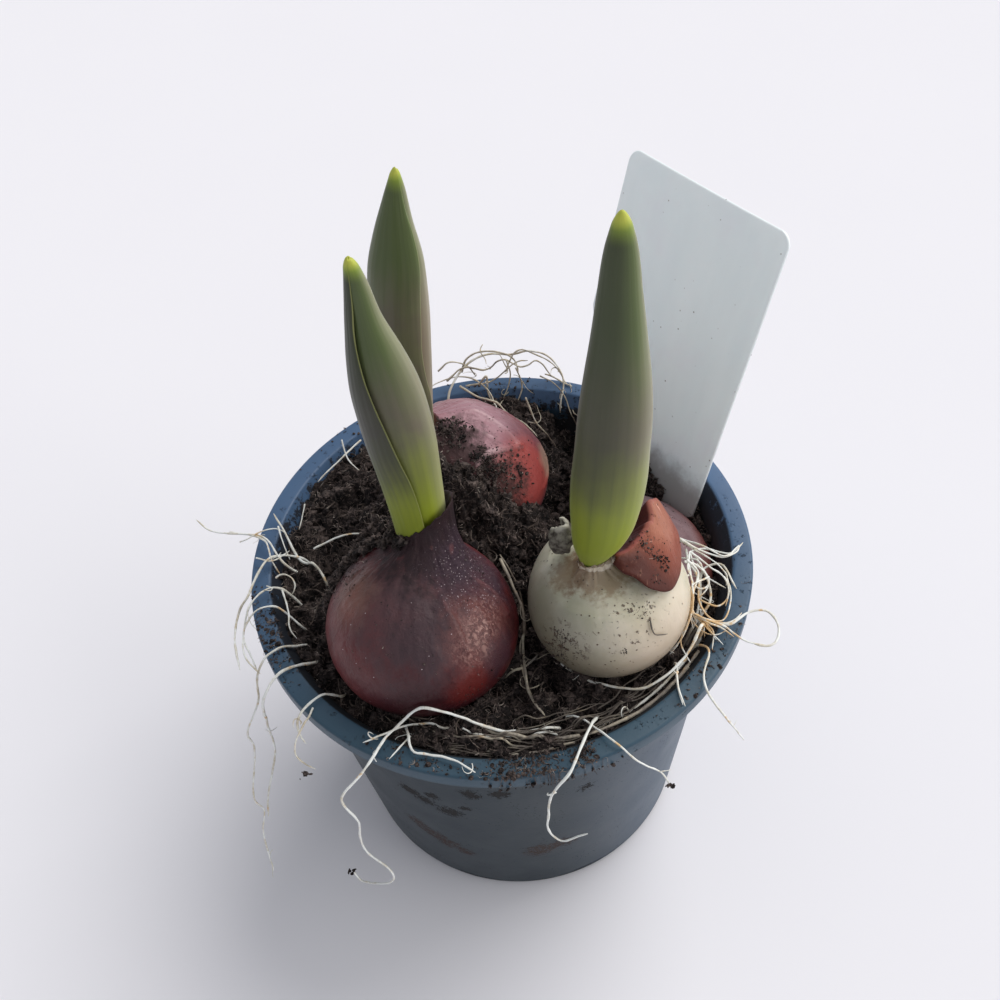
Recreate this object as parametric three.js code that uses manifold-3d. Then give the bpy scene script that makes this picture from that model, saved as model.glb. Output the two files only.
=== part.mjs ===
// A potted group of forced tulip bulbs: a tapered plastic pot filled with peat, four bulbs that stand
// half out of it, three closed leaf spears, a plastic stake label, and thin roots that come out of the
// peat and hang over the rim.
// Millimetres, +Z up. The origin is the centre of the pot's base, on the surface that it stands on.
// -Y is the side that the pot is looked at from, and angles run from +X towards +Y.

import * as THREE from 'three';
import { mergeVertices } from 'three/addons/utils/BufferGeometryUtils.js';
import Module from 'manifold-3d';

const wasm = await Module();
wasm.setup();

// Driving dimensions

const GAP = 0.3;

const POT = {
  height: 95,
  rimRadius: 60,
  rimInnerRadius: 55.2,
  skirtHeight: 4.2,
  shoulderRadius: 54.1,
  baseRadius: 46.3,
  wall: 1.2,
  floor: 1.8,
  sides: 48,
};
const DRAIN = { count: 6, radius: 4, ringRadius: 30, sides: 10 };

const SOIL = { level: 90, bottomGap: 0.3, sides: 40, rings: 10 };
// Humps and hollows of the peat: centre, spread along X and Y, and height.
const MOUNDS = [
  { x: -11, y: 14, spreadX: 16.5, spreadY: 9.5, rise: 21 },
  { x: -40, y: 18, spreadX: 14, spreadY: 22, rise: 3 },
  { x: -44, y: -20, spreadX: 9, spreadY: 12, rise: 2 },
  { x: 0, y: 50, spreadX: 20, spreadY: 7, rise: 3 },
  { x: -4, y: -50, spreadX: 30, spreadY: 9, rise: 2.5 },
  { x: 3, y: -13, spreadX: 5, spreadY: 8, rise: -10 },
  { x: 16, y: 20, spreadX: 6, spreadY: 8, rise: -11 },
  { x: 24, y: 37, spreadX: 9, spreadY: 9, rise: -8 },
  { x: 50, y: -5, spreadX: 7, spreadY: 9, rise: -8 },
  { x: 43, y: -22, spreadX: 6, spreadY: 8, rise: -6 },
  { x: -39, y: -6, spreadX: 5, spreadY: 6, rise: -4 },
];

// A bulb: centre and radius of its widest ring, the point at which its neck ends, and its shape.
const BULBS = {
  bulb_1: {
    centre: [-18.8, -22.8, 100.4], radius: 21.6, neck: [-15.9, -15.6, 122.5], neckRadius: 6.8,
    depth: 0.93, shoulder: 1.05, flat: 0.02, flatAngle: 60,
  },
  bulb_2: {
    centre: [22.6, -23.4, 103.7], radius: 18, neck: [21.2, -24.3, 119.5], neckRadius: 4.2,
    depth: 1.02, shoulder: 0.62, flat: 0, flatAngle: 0,
  },
  bulb_3: {
    centre: [-3.3, 27.9, 88.2], radius: 19.1, neck: [-16.1, 26.7, 112.4], neckRadius: 6.9,
    depth: 0.78, shoulder: 0.66, flat: 0, flatAngle: 0,
  },
  bulb_4: {
    centre: [35.4, -2.4, 84], radius: 19.4, neck: [40, -4.2, 95.6], neckRadius: 2.4,
    depth: 0.9, shoulder: 0.72, flat: 0.28, flatAngle: 240,
  },
};
// Steps round a bulb, and up its lower and upper half: of the bulb, and of the hole it leaves in the peat.
const BULB_GRID = { sides: 26, lower: 5, upper: 8 };
const HOLE_GRID = { sides: 20, lower: 5, upper: 8 };
const HOLE_GAP = 0.65;

// A leaf spear: its foot and tip, the lean of its middle, its half widths at steps from foot to tip,
// the depth of its section against its width, and the angles that the outer leaf covers. The angles
// are from the side that faces the viewer, to the right positive, at the foot and at the tip.
const SHOOTS = {
  shoot_1: {
    foot: [-15, -13.6, 119], tip: [-20, -10.5, 191], bow: [1.1, 0.3], depth: 0.82,
    halfWidths: [5.2, 5.9, 6.6, 7.2, 7.6, 7.6, 7.2, 5.9, 4.1, 2.4, 0],
    covers: [[-200, 8], [-190, -84]],
  },
  shoot_2: {
    foot: [-17.5, 26.3, 109.7], tip: [-11.6, 23.6, 186.4], bow: [-0.6, 0.3], depth: 0.82,
    halfWidths: [5.8, 6.4, 6.8, 7.1, 7.3, 7.4, 7.1, 6.2, 4.2, 2.4, 0],
    covers: [[-180, 34], [-165, 52]],
  },
  shoot_3: {
    foot: [20, -25, 117.4], tip: [23.2, -25.1, 205], bow: [1.6, 0.3], depth: 0.82,
    halfWidths: [1.8, 5.2, 6.9, 7.2, 7.0, 6.7, 5.9, 4.8, 3.6, 2.5, 0],
    covers: [[-158, 176], [-160, 178]],
  },
};
const LEAF = { thickness: 1.1, across: 11, along: 14, sides: 14 };

// The label's frame: where its right edge enters the peat, the way its width runs, and the way up.
const LABEL = {
  entry: [50.6, 9.8, 90.3], widthWay: [-0.511, 0.859, -0.036], upWay: [0.26, 0.185, 0.95],
  width: 51.5, top: 72, thickness: 0.8, corner: 3.5,
};
// The label's outline under its broad part, from its left edge round the stake to its right edge.
const LABEL_FOOT = [[51.5, 30], [47, 20], [32, 2], [28, -10], [27, -28], [24, -35], [21, -28], [15, -14], [0, -4]];

// The torn flap of tunic that stands on bulb_2 beside its spear: its lower edge on the bulb's shoulder
// and its upper edge, both from the front of the spear round to the back of the bulb.
const FLAP = {
  thickness: 0.7,
  bulge: 0.8,
  lower: [
    [23, -28.6, 121.7], [25.2, -31.7, 120.7], [27.2, -33.7, 119.3], [29.6, -34, 118.5], [33.3, -33.2, 117],
    [35.1, -31.3, 116.5], [36.6, -29.2, 116], [38.3, -24.6, 114.8], [39.4, -21.2, 113], [40, -18.8, 110],
  ],
  upper: [
    [23.3, -27.4, 122], [24.4, -25.8, 122.6], [26.2, -24, 122.6], [28, -22, 122.4], [30.6, -18.5, 123],
    [32, -14.4, 124.5], [35, -12, 120.4], [36.9, -11.5, 116.6], [39.3, -12, 112.3], [40.6, -15, 110],
  ],
};
const HUSK = { centre: [13.6, -22.6, 117.6], size: [2.7, 2.4, 3.7], sides: 12 };

// Thin roots. Those of a bunch meet at a point in the peat. Each is led through its own points, the
// first of which is at the surface of the peat.
const ROOTS = { radius: 0.6, sides: 4, spacing: 5, clearance: 1.0 };
const ROOT_BUNCHES = {
  roots_left: {
    buried: [-44, -12, 81],
    strands: [
      [[-42, -4, 86], [-44, 1, 90], [-49, 5, 93], [-52, 11, 96], [-55, 17, 97]],
      [[-47, 0, 90], [-52, 2, 95.6], [-57, 9, 98], [-64, 11, 98], [-71, 14, 97], [-75, 19, 96]],
      [[-48, -8, 90], [-52, -6, 96], [-55, -6, 97], [-59, -10, 97], [-61, -15, 94], [-60.5, -22, 93], [-57, -26, 92]],
      [[-48, -14, 91], [-53, -11, 95.8], [-57, -12, 97.4], [-61, -16, 94], [-59.5, -21, 92.5], [-58, -24.5, 91]],
      [[-47, 5, 91], [-55, 3, 97], [-60, -8, 97], [-62.5, -10, 94], [-63.5, -16, 92.5], [-62, -24, 91.5]],
      [
        [-47, -19, 91], [-54, -24, 96.6], [-57, -27, 94], [-59, -29, 85], [-63, -33, 78], [-63, -33, 72],
        [-67, -38, 54], [-66, -38, 48], [-68, -40, 41], [-69, -44, 24],
      ],
      [
        [-44, -24, 91], [-51, -29, 96.4], [-55, -33, 94], [-59, -30, 76], [-61, -29, 60], [-65, -35, 49],
        [-66, -38, 44],
      ],
      [[-38, -33, 90], [-42, -36, 96], [-46, -39.5, 96.5], [-47.5, -42, 94], [-46, -45, 92]],
    ],
  },
  roots_front_left: {
    buried: [-14, -43, 82],
    strands: [
      [
        [9, -48, 91.5], [-1, -49, 93.5], [-8, -47.5, 96], [-12.4, -46.4, 98.8], [-17.6, -45.6, 101.5],
        [-20, -45, 101.5], [-25.3, -46.5, 98], [-28, -48.5, 97], [-31, -53, 97], [-34, -55.5, 95],
        [-38, -58, 92], [-38.5, -58, 88], [-37, -58, 80], [-38, -58, 64], [-33.5, -60, 55],
        [-33.5, -60, 50], [-36, -59, 45], [-43, -56, 41], [-44, -55, 45],
      ],
      [[-24, -43, 90], [-23.5, -47.5, 95.5], [-22.5, -52, 96.4], [-19, -53, 96.2], [-14, -55, 96.2], [-10, -58, 96]],
      [[-13, -46, 90.5], [-16, -45.5, 92.5], [-19, -44, 92.5], [-24, -44.5, 94], [-29, -47.5, 96.4], [-33, -48.5, 96.4]],
      [[-22, -45, 91], [-24.5, -49.5, 95.8], [-27.5, -53, 96.2]],
      [[9, -49.5, 90.5], [-1, -50, 92.2], [-8, -49, 92.2], [-14, -45.5, 90.5]],
    ],
  },
  roots_front_right: {
    buried: [16, -42, 82],
    strands: [
      [[10, -45, 91], [14.5, -48.5, 93.5], [19, -55, 96.4], [23.5, -58, 92.5], [29, -59, 87], [30.5, -60.5, 83]],
      [
        [17, -46, 91], [14.5, -51, 96], [12.5, -55, 96.6], [9, -60, 95], [5, -62.5, 91], [4, -63, 82],
        [4, -63, 74], [6, -64, 71], [12, -65, 75],
      ],
    ],
  },
  roots_between: {
    buried: [3, -27, 80],
    strands: [
      [[4.5, -43.5, 90], [3, -38, 91.5], [2, -28, 89.5], [4, -18, 85], [4, -9, 83], [2.5, -4, 86.5], [0, 0, 87]],
      [[-3, -33, 89], [2, -32, 90.5], [6, -29.5, 88]],
    ],
  },
  roots_right: {
    buried: [34, -34, 81],
    strands: [
      [
        [42, -31, 92], [42, -32, 101], [38, -37, 98], [32, -41, 95.5], [27, -42, 94], [19, -39, 92.3],
        [15, -36.5, 91.5], [11, -32, 91], [8, -28, 88],
      ],
      [
        [43, -29, 92], [44, -29, 97], [48, -31.5, 98.6], [53, -29, 98.6], [57, -29, 98.6], [59, -32, 97.6],
        [58, -35.5, 97], [55.5, -37, 96.8], [52, -35.5, 97],
      ],
      [
        [41, -32, 92], [43, -36, 96.4], [40.5, -42, 96.4], [40.5, -46, 96], [43, -49, 92.5], [46, -50, 87],
        [48, -49.5, 82], [49.5, -49, 78],
      ],
      [[36, -35, 91], [35, -40, 95.6], [34.5, -45, 96.6], [35, -49, 96.6]],
      [[43, -24, 91], [45.5, -16, 94.5], [44.5, -9.5, 96.8], [49, -9.5, 97.2], [53, -11.5, 97.2], [57, -8.5, 97]],
      [[44, -24, 90], [46.5, -14, 95.4], [50.5, -14, 97], [52.5, -21, 96.8]],
      [[42, -26, 91], [46, -23, 95.4], [47, -17.5, 95.6], [45.5, -12, 96]],
      [[39, -34, 90.5], [33, -39.5, 91], [27, -44, 91.3], [20, -47.5, 91.4], [14, -50, 90.5]],
    ],
  },
  roots_back: {
    buried: [4, 44, 82],
    strands: [
      [
        [-8, 46, 89], [-9, 53, 96.6], [-2, 59.5, 102], [4, 61, 102.5], [9, 61, 101.5], [14, 60, 103],
        [19.5, 59, 101], [22.5, 54, 97.6], [21, 48, 90],
      ],
      [[4, 46, 89], [2, 53, 96.6], [-4, 58, 98], [-12, 57, 97.6], [-16, 54, 96.8]],
    ],
  },
};

// Small shared helpers

const rad = (degrees) => THREE.MathUtils.degToRad(degrees);
const vec = (triple) => new THREE.Vector3(...triple);

// Value of an evenly stepped list at t from 0 to 1, on a smooth curve through its entries.
function along(list, t) {
  const last = list.length - 1;
  const place = Math.min(Math.max(t, 0), 1) * last;
  const k = Math.min(Math.floor(place), last - 1);
  const f = place - k;
  const at = (n) => list[Math.min(Math.max(n, 0), last)];
  const [a, b, c, d] = [at(k - 1), at(k), at(k + 1), at(k + 2)];
  return b + 0.5 * f * (c - a + f * (2 * a - 5 * b + 4 * c - d + f * (3 * (b - c) + d - a)));
}

// A geometry's closed surface as a solid that can be joined and cut.
function solidOf(geometry) {
  const bare = geometry.clone();
  bare.deleteAttribute('normal');
  bare.deleteAttribute('uv');
  const merged = mergeVertices(bare, 1e-4);
  const made = new wasm.Manifold(new wasm.Mesh({
    numProp: 3,
    vertProperties: new Float32Array(merged.attributes.position.array),
    triVerts: new Uint32Array(merged.index.array),
  }));
  if (made.status() !== 'NoError') {
    throw new Error(`open surface: ${made.status()}`);
  }
  return made;
}

// A solid's surface as a geometry with flat faces.
function geometryOf(solid) {
  const mesh = solid.getMesh();
  const indexed = new THREE.BufferGeometry();
  const places = new Float32Array(mesh.numVert * 3);
  for (let i = 0; i < mesh.numVert; i += 1) {
    for (let axis = 0; axis < 3; axis += 1) {
      places[i * 3 + axis] = mesh.vertProperties[i * mesh.numProp + axis];
    }
  }
  indexed.setAttribute('position', new THREE.BufferAttribute(places, 3));
  indexed.setIndex(new THREE.BufferAttribute(new Uint32Array(mesh.triVerts), 1));
  const flat = indexed.toNonIndexed();
  flat.computeVertexNormals();
  return flat;
}

// The largest single body of a solid, without loose scraps.
function mainBody(solid) {
  const bodies = solid.decompose();
  return bodies.reduce((best, body) => (body.volume() > best.volume() ? body : best));
}

function surface(points, faces) {
  const geometry = new THREE.BufferGeometry();
  geometry.setAttribute('position', new THREE.Float32BufferAttribute(points.flatMap((p) => p.toArray()), 3));
  geometry.setIndex(faces.flat());
  return geometry;
}

// A closed skin over rings of equal point count, each running anticlockwise seen from above, from the
// lowest ring to the highest, with a point at either end.
function skin(rings, lowEnd, highEnd) {
  const n = rings[0].length;
  const points = [...rings.flat(), lowEnd, highEnd];
  const low = points.length - 2;
  const high = points.length - 1;
  const top = (rings.length - 1) * n;
  const faces = [];
  for (let i = 0; i < n; i += 1) {
    const j = (i + 1) % n;
    faces.push([low, j, i], [high, top + i, top + j]);
    for (let k = 0; k < rings.length - 1; k += 1) {
      const a = k * n + i;
      const b = k * n + j;
      faces.push([a, b, b + n], [a, b + n, a + n]);
    }
  }
  return surface(points, faces);
}

// A closed sheet between two grids of rows, the front one and the back one. Rows run from low to high,
// and seen from the front the points of a row run from left to right.
function sheet(front, back) {
  const rows = front.length;
  const n = front[0].length;
  const points = [...front.flat(), ...back.flat()];
  const f = (r, i) => r * n + i;
  const b = (r, i) => rows * n + r * n + i;
  const faces = [];
  for (let r = 0; r < rows - 1; r += 1) {
    for (let i = 0; i < n - 1; i += 1) {
      faces.push([f(r, i), f(r, i + 1), f(r + 1, i + 1)], [f(r, i), f(r + 1, i + 1), f(r + 1, i)]);
      faces.push([b(r, i), b(r + 1, i + 1), b(r, i + 1)], [b(r, i), b(r + 1, i), b(r + 1, i + 1)]);
    }
    faces.push([f(r, 0), f(r + 1, 0), b(r + 1, 0)], [f(r, 0), b(r + 1, 0), b(r, 0)]);
    const e = n - 1;
    faces.push([f(r, e), b(r, e), b(r + 1, e)], [f(r, e), b(r + 1, e), f(r + 1, e)]);
  }
  for (let i = 0; i < n - 1; i += 1) {
    const t = rows - 1;
    faces.push([f(0, i), b(0, i), b(0, i + 1)], [f(0, i), b(0, i + 1), f(0, i + 1)]);
    faces.push([f(t, i), f(t, i + 1), b(t, i + 1)], [f(t, i), b(t, i + 1), b(t, i)]);
  }
  return surface(points, faces);
}

// A ring of points about +Z with a radius for each angle.
function ring(count, height, radiusAt) {
  return Array.from({ length: count }, (_, i) => {
    const angle = (2 * Math.PI * i) / count;
    const radius = radiusAt(angle);
    return new THREE.Vector3(radius * Math.cos(angle), radius * Math.sin(angle), height);
  });
}

// Pot

function potWallRadius(z) {
  const under = POT.height - POT.skirtHeight;
  return POT.baseRadius + ((POT.shoulderRadius - POT.baseRadius) * Math.min(z, under)) / under;
}

// Inner radius of the pot's wall, which widens to the rim above the skirt's lower edge.
function potInnerRadius(z) {
  const under = POT.height - POT.skirtHeight;
  if (z > under) {
    const share = Math.min((z - under) / POT.skirtHeight, 1);
    return THREE.MathUtils.lerp(POT.shoulderRadius - POT.wall, POT.rimInnerRadius, share);
  }
  const floorRadius = potWallRadius(POT.floor) - POT.wall - 0.6;
  const share = (z - POT.floor) / (under - POT.floor);
  return THREE.MathUtils.lerp(floorRadius, POT.shoulderRadius - POT.wall, share);
}

function makePot() {
  const { height, rimRadius, rimInnerRadius, skirtHeight, baseRadius, wall, floor } = POT;
  const under = height - skirtHeight;
  const round = 0.5;
  const outline = [
    [0, 0],
    [baseRadius - 0.9, 0],
    [potWallRadius(1), 1],
    [POT.shoulderRadius, under],
    [POT.shoulderRadius + wall, height - wall - 0.6],
    [rimInnerRadius + 1.2, height - wall],
    [rimRadius - wall, height - wall],
    [rimRadius - wall, under],
    [rimRadius, under],
    [rimRadius, height - round],
    [rimRadius - round, height],
    [rimInnerRadius, height],
    [potInnerRadius(under), under],
    [potInnerRadius(floor), floor],
    [0, floor],
  ].map(([r, z]) => new THREE.Vector2(r, z));
  const shell = new THREE.LatheGeometry(outline, POT.sides);
  shell.rotateX(Math.PI / 2);
  let pot = solidOf(shell);
  for (let i = 0; i < DRAIN.count; i += 1) {
    const angle = (2 * Math.PI * (i + 0.5)) / DRAIN.count;
    const drill = new THREE.CylinderGeometry(DRAIN.radius, DRAIN.radius, 4 * wall, DRAIN.sides);
    drill.rotateX(Math.PI / 2);
    drill.translate(DRAIN.ringRadius * Math.cos(angle), DRAIN.ringRadius * Math.sin(angle), 0);
    pot = pot.subtract(solidOf(drill));
  }
  return pot;
}

// The pot's rim and the wall under it, grown by the gap: what a root may not enter.
function makeRimGuard() {
  const under = POT.height - POT.skirtHeight - GAP;
  const low = under - 8;
  const outline = [
    [potInnerRadius(low) - GAP, low],
    [POT.shoulderRadius + GAP, low],
    [POT.shoulderRadius + GAP, under],
    [POT.rimRadius + GAP, under],
    [POT.rimRadius + GAP, POT.height + GAP],
    [POT.rimInnerRadius - GAP, POT.height + GAP],
    [potInnerRadius(under) - GAP, under],
    [potInnerRadius(low) - GAP, low],
  ].map(([r, z]) => new THREE.Vector2(r, z));
  const guard = new THREE.LatheGeometry(outline, POT.sides);
  guard.rotateX(Math.PI / 2);
  return solidOf(guard);
}

// Bulbs

// Radius and height of a bulb's outline: s runs from -1 at the root plate over 0 at the widest ring
// to 1 at the end of the neck.
function bulbOutline(bulb, s) {
  const reach = vec(bulb.neck).distanceTo(vec(bulb.centre));
  if (s <= 0) {
    return { radius: bulb.radius * Math.sqrt(Math.max(0, 1 - s * s)), height: s * bulb.radius * bulb.depth };
  }
  const fall = Math.cos((Math.PI / 2) * s) ** bulb.shoulder;
  return { radius: bulb.neckRadius + (bulb.radius - bulb.neckRadius) * fall, height: s * reach };
}

// How much of its radius a bulb has at an angle: a flat side and two soft ridges.
function bulbSwell(bulb, angle) {
  const towards = Math.max(0, Math.cos(angle - rad(bulb.flatAngle)));
  return 1 - bulb.flat * towards ** 2 + 0.012 * Math.cos(3 * angle + 1) - 0.01 * Math.cos(2 * angle);
}

function bulbSkin(bulb, grow, grid = BULB_GRID) {
  const rings = [];
  const addRing = (s) => {
    const { radius, height } = bulbOutline(bulb, s);
    rings.push(ring(grid.sides, height, (angle) => radius * bulbSwell(bulb, angle) + grow));
  };
  for (let k = 1; k <= grid.lower; k += 1) {
    addRing(-Math.cos((Math.PI / 2) * (k / grid.lower)));
  }
  for (let k = 1; k <= grid.upper; k += 1) {
    addRing(k / grid.upper);
  }
  const plate = new THREE.Vector3(0, 0, -bulb.radius * bulb.depth - grow);
  const end = new THREE.Vector3(0, 0, bulbOutline(bulb, 1).height + grow);
  const geometry = skin(rings, plate, end);
  const axis = vec(bulb.neck).sub(vec(bulb.centre)).normalize();
  geometry.applyQuaternion(new THREE.Quaternion().setFromUnitVectors(new THREE.Vector3(0, 0, 1), axis));
  geometry.translate(...bulb.centre);
  if (grow === 0) {
    pressOnWall(geometry);
  }
  return solidOf(geometry);
}

// Brings what lies beyond the pot's wall back to it: a bulb is pressed flat where it meets the wall.
function pressOnWall(geometry) {
  const place = geometry.attributes.position;
  for (let i = 0; i < place.count; i += 1) {
    const [x, y, z] = [place.getX(i), place.getY(i), place.getZ(i)];
    const scale = Math.min((potInnerRadius(z) - 2 * GAP) / Math.hypot(x, y), 1);
    place.setXYZ(i, x * scale, y * scale, z);
  }
}

// Leaf spears

// Centre line of a spear at t from foot to tip: straight, with a slight bow.
function shootCentre(shoot, t) {
  const bow = Math.sin(Math.PI * t);
  return vec(shoot.foot).lerp(vec(shoot.tip), t).add(new THREE.Vector3(shoot.bow[0] * bow, shoot.bow[1] * bow, 0));
}

// A point of a spear's section: the angle is from the viewer's side, to the right positive, and inset
// is how far the skin lies under the outer one.
function shootPoint(shoot, t, angle, inset) {
  const width = Math.max(along(shoot.halfWidths, t) - inset, 0);
  const depth = width * shoot.depth;
  const offset = new THREE.Vector3(width * Math.sin(angle), -depth * Math.cos(angle), 0);
  return shootCentre(shoot, t).add(offset);
}

// Steps along a spear, closer together at the foot and at the tip.
function shootStep(k, count) {
  const t = k / count;
  return t - 0.05 * Math.sin(2 * Math.PI * t);
}

// The closed roll of a spear from its foot to its tip, at an inset under the outer skin.
function shootRoll(shoot, inset, tipDrop) {
  const rings = [];
  const end = 1 - tipDrop;
  for (let k = 0; k < LEAF.along; k += 1) {
    const t = shootStep(k, LEAF.along) * end;
    rings.push(Array.from({ length: LEAF.sides }, (_, i) => (
      shootPoint(shoot, t, (2 * Math.PI * i) / LEAF.sides, inset * (1 - 0.55 * t ** 6))
    )));
  }
  return solidOf(skin(rings, shootCentre(shoot, 0), shootCentre(shoot, end)));
}

// The outer leaf: a curved blade round the roll, from one margin to the other, that closes at the tip.
function outerLeaf(shoot) {
  const front = [];
  const back = [];
  const [[footFrom, footTo], [tipFrom, tipTo]] = shoot.covers;
  for (let k = 0; k <= LEAF.along; k += 1) {
    const t = shootStep(k, LEAF.along);
    const innerT = t * (1 - 0.022);
    const from = rad(THREE.MathUtils.lerp(footFrom, tipFrom, t));
    const to = rad(THREE.MathUtils.lerp(footTo, tipTo, t));
    const angles = Array.from({ length: LEAF.across + 1 }, (_, i) => from + ((to - from) * i) / LEAF.across);
    front.push(angles.map((angle) => shootPoint(shoot, t, angle, 0)));
    back.push(angles.map((angle) => shootPoint(shoot, innerT, angle, LEAF.thickness * (1 - 0.5 * t ** 6))));
  }
  return solidOf(sheet(front, back));
}

// Label

function makeLabel(grow) {
  const { width, top, corner, thickness } = LABEL;
  const shape = new THREE.Shape();
  shape.moveTo(0, top - corner);
  shape.absarc(corner, top - corner, corner, Math.PI, Math.PI / 2, true);
  shape.lineTo(width - corner, top);
  shape.absarc(width - corner, top - corner, corner, Math.PI / 2, 0, true);
  for (const [across, up] of LABEL_FOOT) {
    shape.lineTo(across, up);
  }
  const depth = thickness + 2 * grow;
  const blade = new THREE.ExtrudeGeometry(shape, { depth, bevelEnabled: false, curveSegments: 4 });
  blade.translate(0, 0, -depth / 2);
  const x = vec(LABEL.widthWay).normalize();
  const z = x.clone().cross(vec(LABEL.upWay)).normalize();
  const y = z.clone().cross(x);
  blade.applyMatrix4(new THREE.Matrix4().makeBasis(x, y, z).setPosition(...LABEL.entry));
  return solidOf(blade);
}

// Flap of tunic and husk on bulb_2

// Point at t on a smooth curve through evenly stepped points.
function alongPoints(points, t) {
  return new THREE.Vector3(...[0, 1, 2].map((axis) => along(points.map((p) => p[axis]), t)));
}

function makeFlap() {
  const steps = 14;
  const rows = 5;
  const middle = vec(BULBS.bulb_2.centre);
  const grid = (inset) => Array.from({ length: rows + 1 }, (_, r) => (
    Array.from({ length: steps + 1 }, (_unused, i) => {
      const v = r / rows;
      const point = alongPoints(FLAP.lower, i / steps).lerp(alongPoints(FLAP.upper, i / steps), v);
      const outward = point.clone().sub(middle).normalize();
      return point.addScaledVector(outward, FLAP.bulge * Math.sin(Math.PI * v) - inset);
    })
  ));
  return solidOf(sheet(grid(0), grid(FLAP.thickness)));
}

function makeHusk() {
  const blob = new THREE.SphereGeometry(1, HUSK.sides, 8);
  const place = blob.attributes.position;
  for (let i = 0; i < place.count; i += 1) {
    const p = new THREE.Vector3().fromBufferAttribute(place, i);
    const pucker = 1 + 0.12 * Math.sin(5 * Math.atan2(p.x, p.y)) * (1 - Math.abs(p.z));
    place.setXYZ(i, p.x * pucker * HUSK.size[0], p.y * pucker * HUSK.size[1], p.z * HUSK.size[2]);
  }
  blob.translate(...HUSK.centre);
  return solidOf(blob);
}

// Peat

function soilHeight(x, y) {
  let height = SOIL.level;
  for (const { x: mx, y: my, spreadX, spreadY, rise } of MOUNDS) {
    height += rise * Math.exp(-(((x - mx) / spreadX) ** 2) - ((y - my) / spreadY) ** 2);
  }
  const lumps = Math.sin(0.55 * x + 1.3) * Math.sin(0.5 * y - 0.4) + 0.7 * Math.sin(0.9 * x - 0.7 * y);
  return height + 0.8 * lumps;
}

function makeSoil(cutters) {
  const floor = POT.floor + SOIL.bottomGap;
  const edgeRadius = (angle) => {
    let radius = potInnerRadius(SOIL.level) - GAP;
    for (let round = 0; round < 4; round += 1) {
      radius = potInnerRadius(soilHeight(radius * Math.cos(angle), radius * Math.sin(angle))) - GAP;
    }
    return radius;
  };
  const rings = [
    ring(SOIL.sides, floor, () => potInnerRadius(floor) - GAP),
    ring(SOIL.sides, SOIL.level - 12, () => potInnerRadius(SOIL.level - 12) - GAP),
  ];
  // The wall bends at the skirt's lower edge, so the peat's side bends there too.
  const bend = ring(SOIL.sides, 0, () => potInnerRadius(SOIL.level) - GAP);
  rings.push(bend.map((p) => {
    const z = Math.min(POT.height - POT.skirtHeight, soilHeight(p.x, p.y) - 1.5);
    const scale = (potInnerRadius(z) - GAP) / Math.hypot(p.x, p.y);
    return new THREE.Vector3(p.x * scale, p.y * scale, z);
  }));
  for (let k = 0; k < SOIL.rings; k += 1) {
    const share = (1 - k / SOIL.rings) ** 0.85;
    const row = ring(SOIL.sides, 0, (angle) => edgeRadius(angle) * share);
    rings.push(row.map((p) => p.setZ(soilHeight(p.x, p.y))));
  }
  const middle = new THREE.Vector3(0, 0, soilHeight(0, 0));
  let soil = solidOf(skin(rings, new THREE.Vector3(0, 0, floor), middle));
  for (const cutter of cutters) {
    soil = soil.subtract(cutter);
  }
  return mainBody(soil);
}

// Roots

// Moves a point of a root out of reach of every bulb.
function clearOfBulbs(point) {
  for (const bulb of Object.values(BULBS)) {
    const axis = vec(bulb.neck).sub(vec(bulb.centre)).normalize();
    const offset = point.clone().sub(vec(bulb.centre));
    const height = offset.dot(axis);
    const span = height < 0 ? bulb.radius * bulb.depth : vec(bulb.neck).distanceTo(vec(bulb.centre));
    const s = height / span;
    if (Math.abs(s) >= 1) {
      continue;
    }
    const sideways = offset.addScaledVector(axis, -height);
    const needed = bulbOutline(bulb, s).radius * 1.012 + ROOTS.clearance;
    if (sideways.length() < needed) {
      point.addScaledVector(sideways.clone().normalize(), needed - sideways.length());
    }
  }
  return point;
}

// Moves a point of a root out of reach of the pot's rim and wall, by the shortest way.
function clearOfPot(point) {
  const radius = Math.hypot(point.x, point.y);
  const { height, rimRadius, skirtHeight } = POT;
  const reach = ROOTS.clearance;
  const inner = potInnerRadius(point.z) - reach;
  if (radius <= inner || radius >= rimRadius + reach || point.z >= height + reach) {
    return point;
  }
  const up = height + reach - point.z;
  const out = rimRadius + reach - radius;
  const inwards = radius - inner;
  if (up <= out && up <= inwards && up < skirtHeight) {
    return point.setZ(height + reach);
  }
  const target = out < inwards ? rimRadius + reach : inner;
  return point.set((point.x * target) / radius, (point.y * target) / radius, point.z);
}

// Lifts a point of a root that lies on the peat to its surface.
function onPeat(point) {
  if (Math.hypot(point.x, point.y) < 51) {
    point.setZ(Math.max(point.z, soilHeight(point.x, point.y) + 0.2));
  }
  return point;
}

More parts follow.
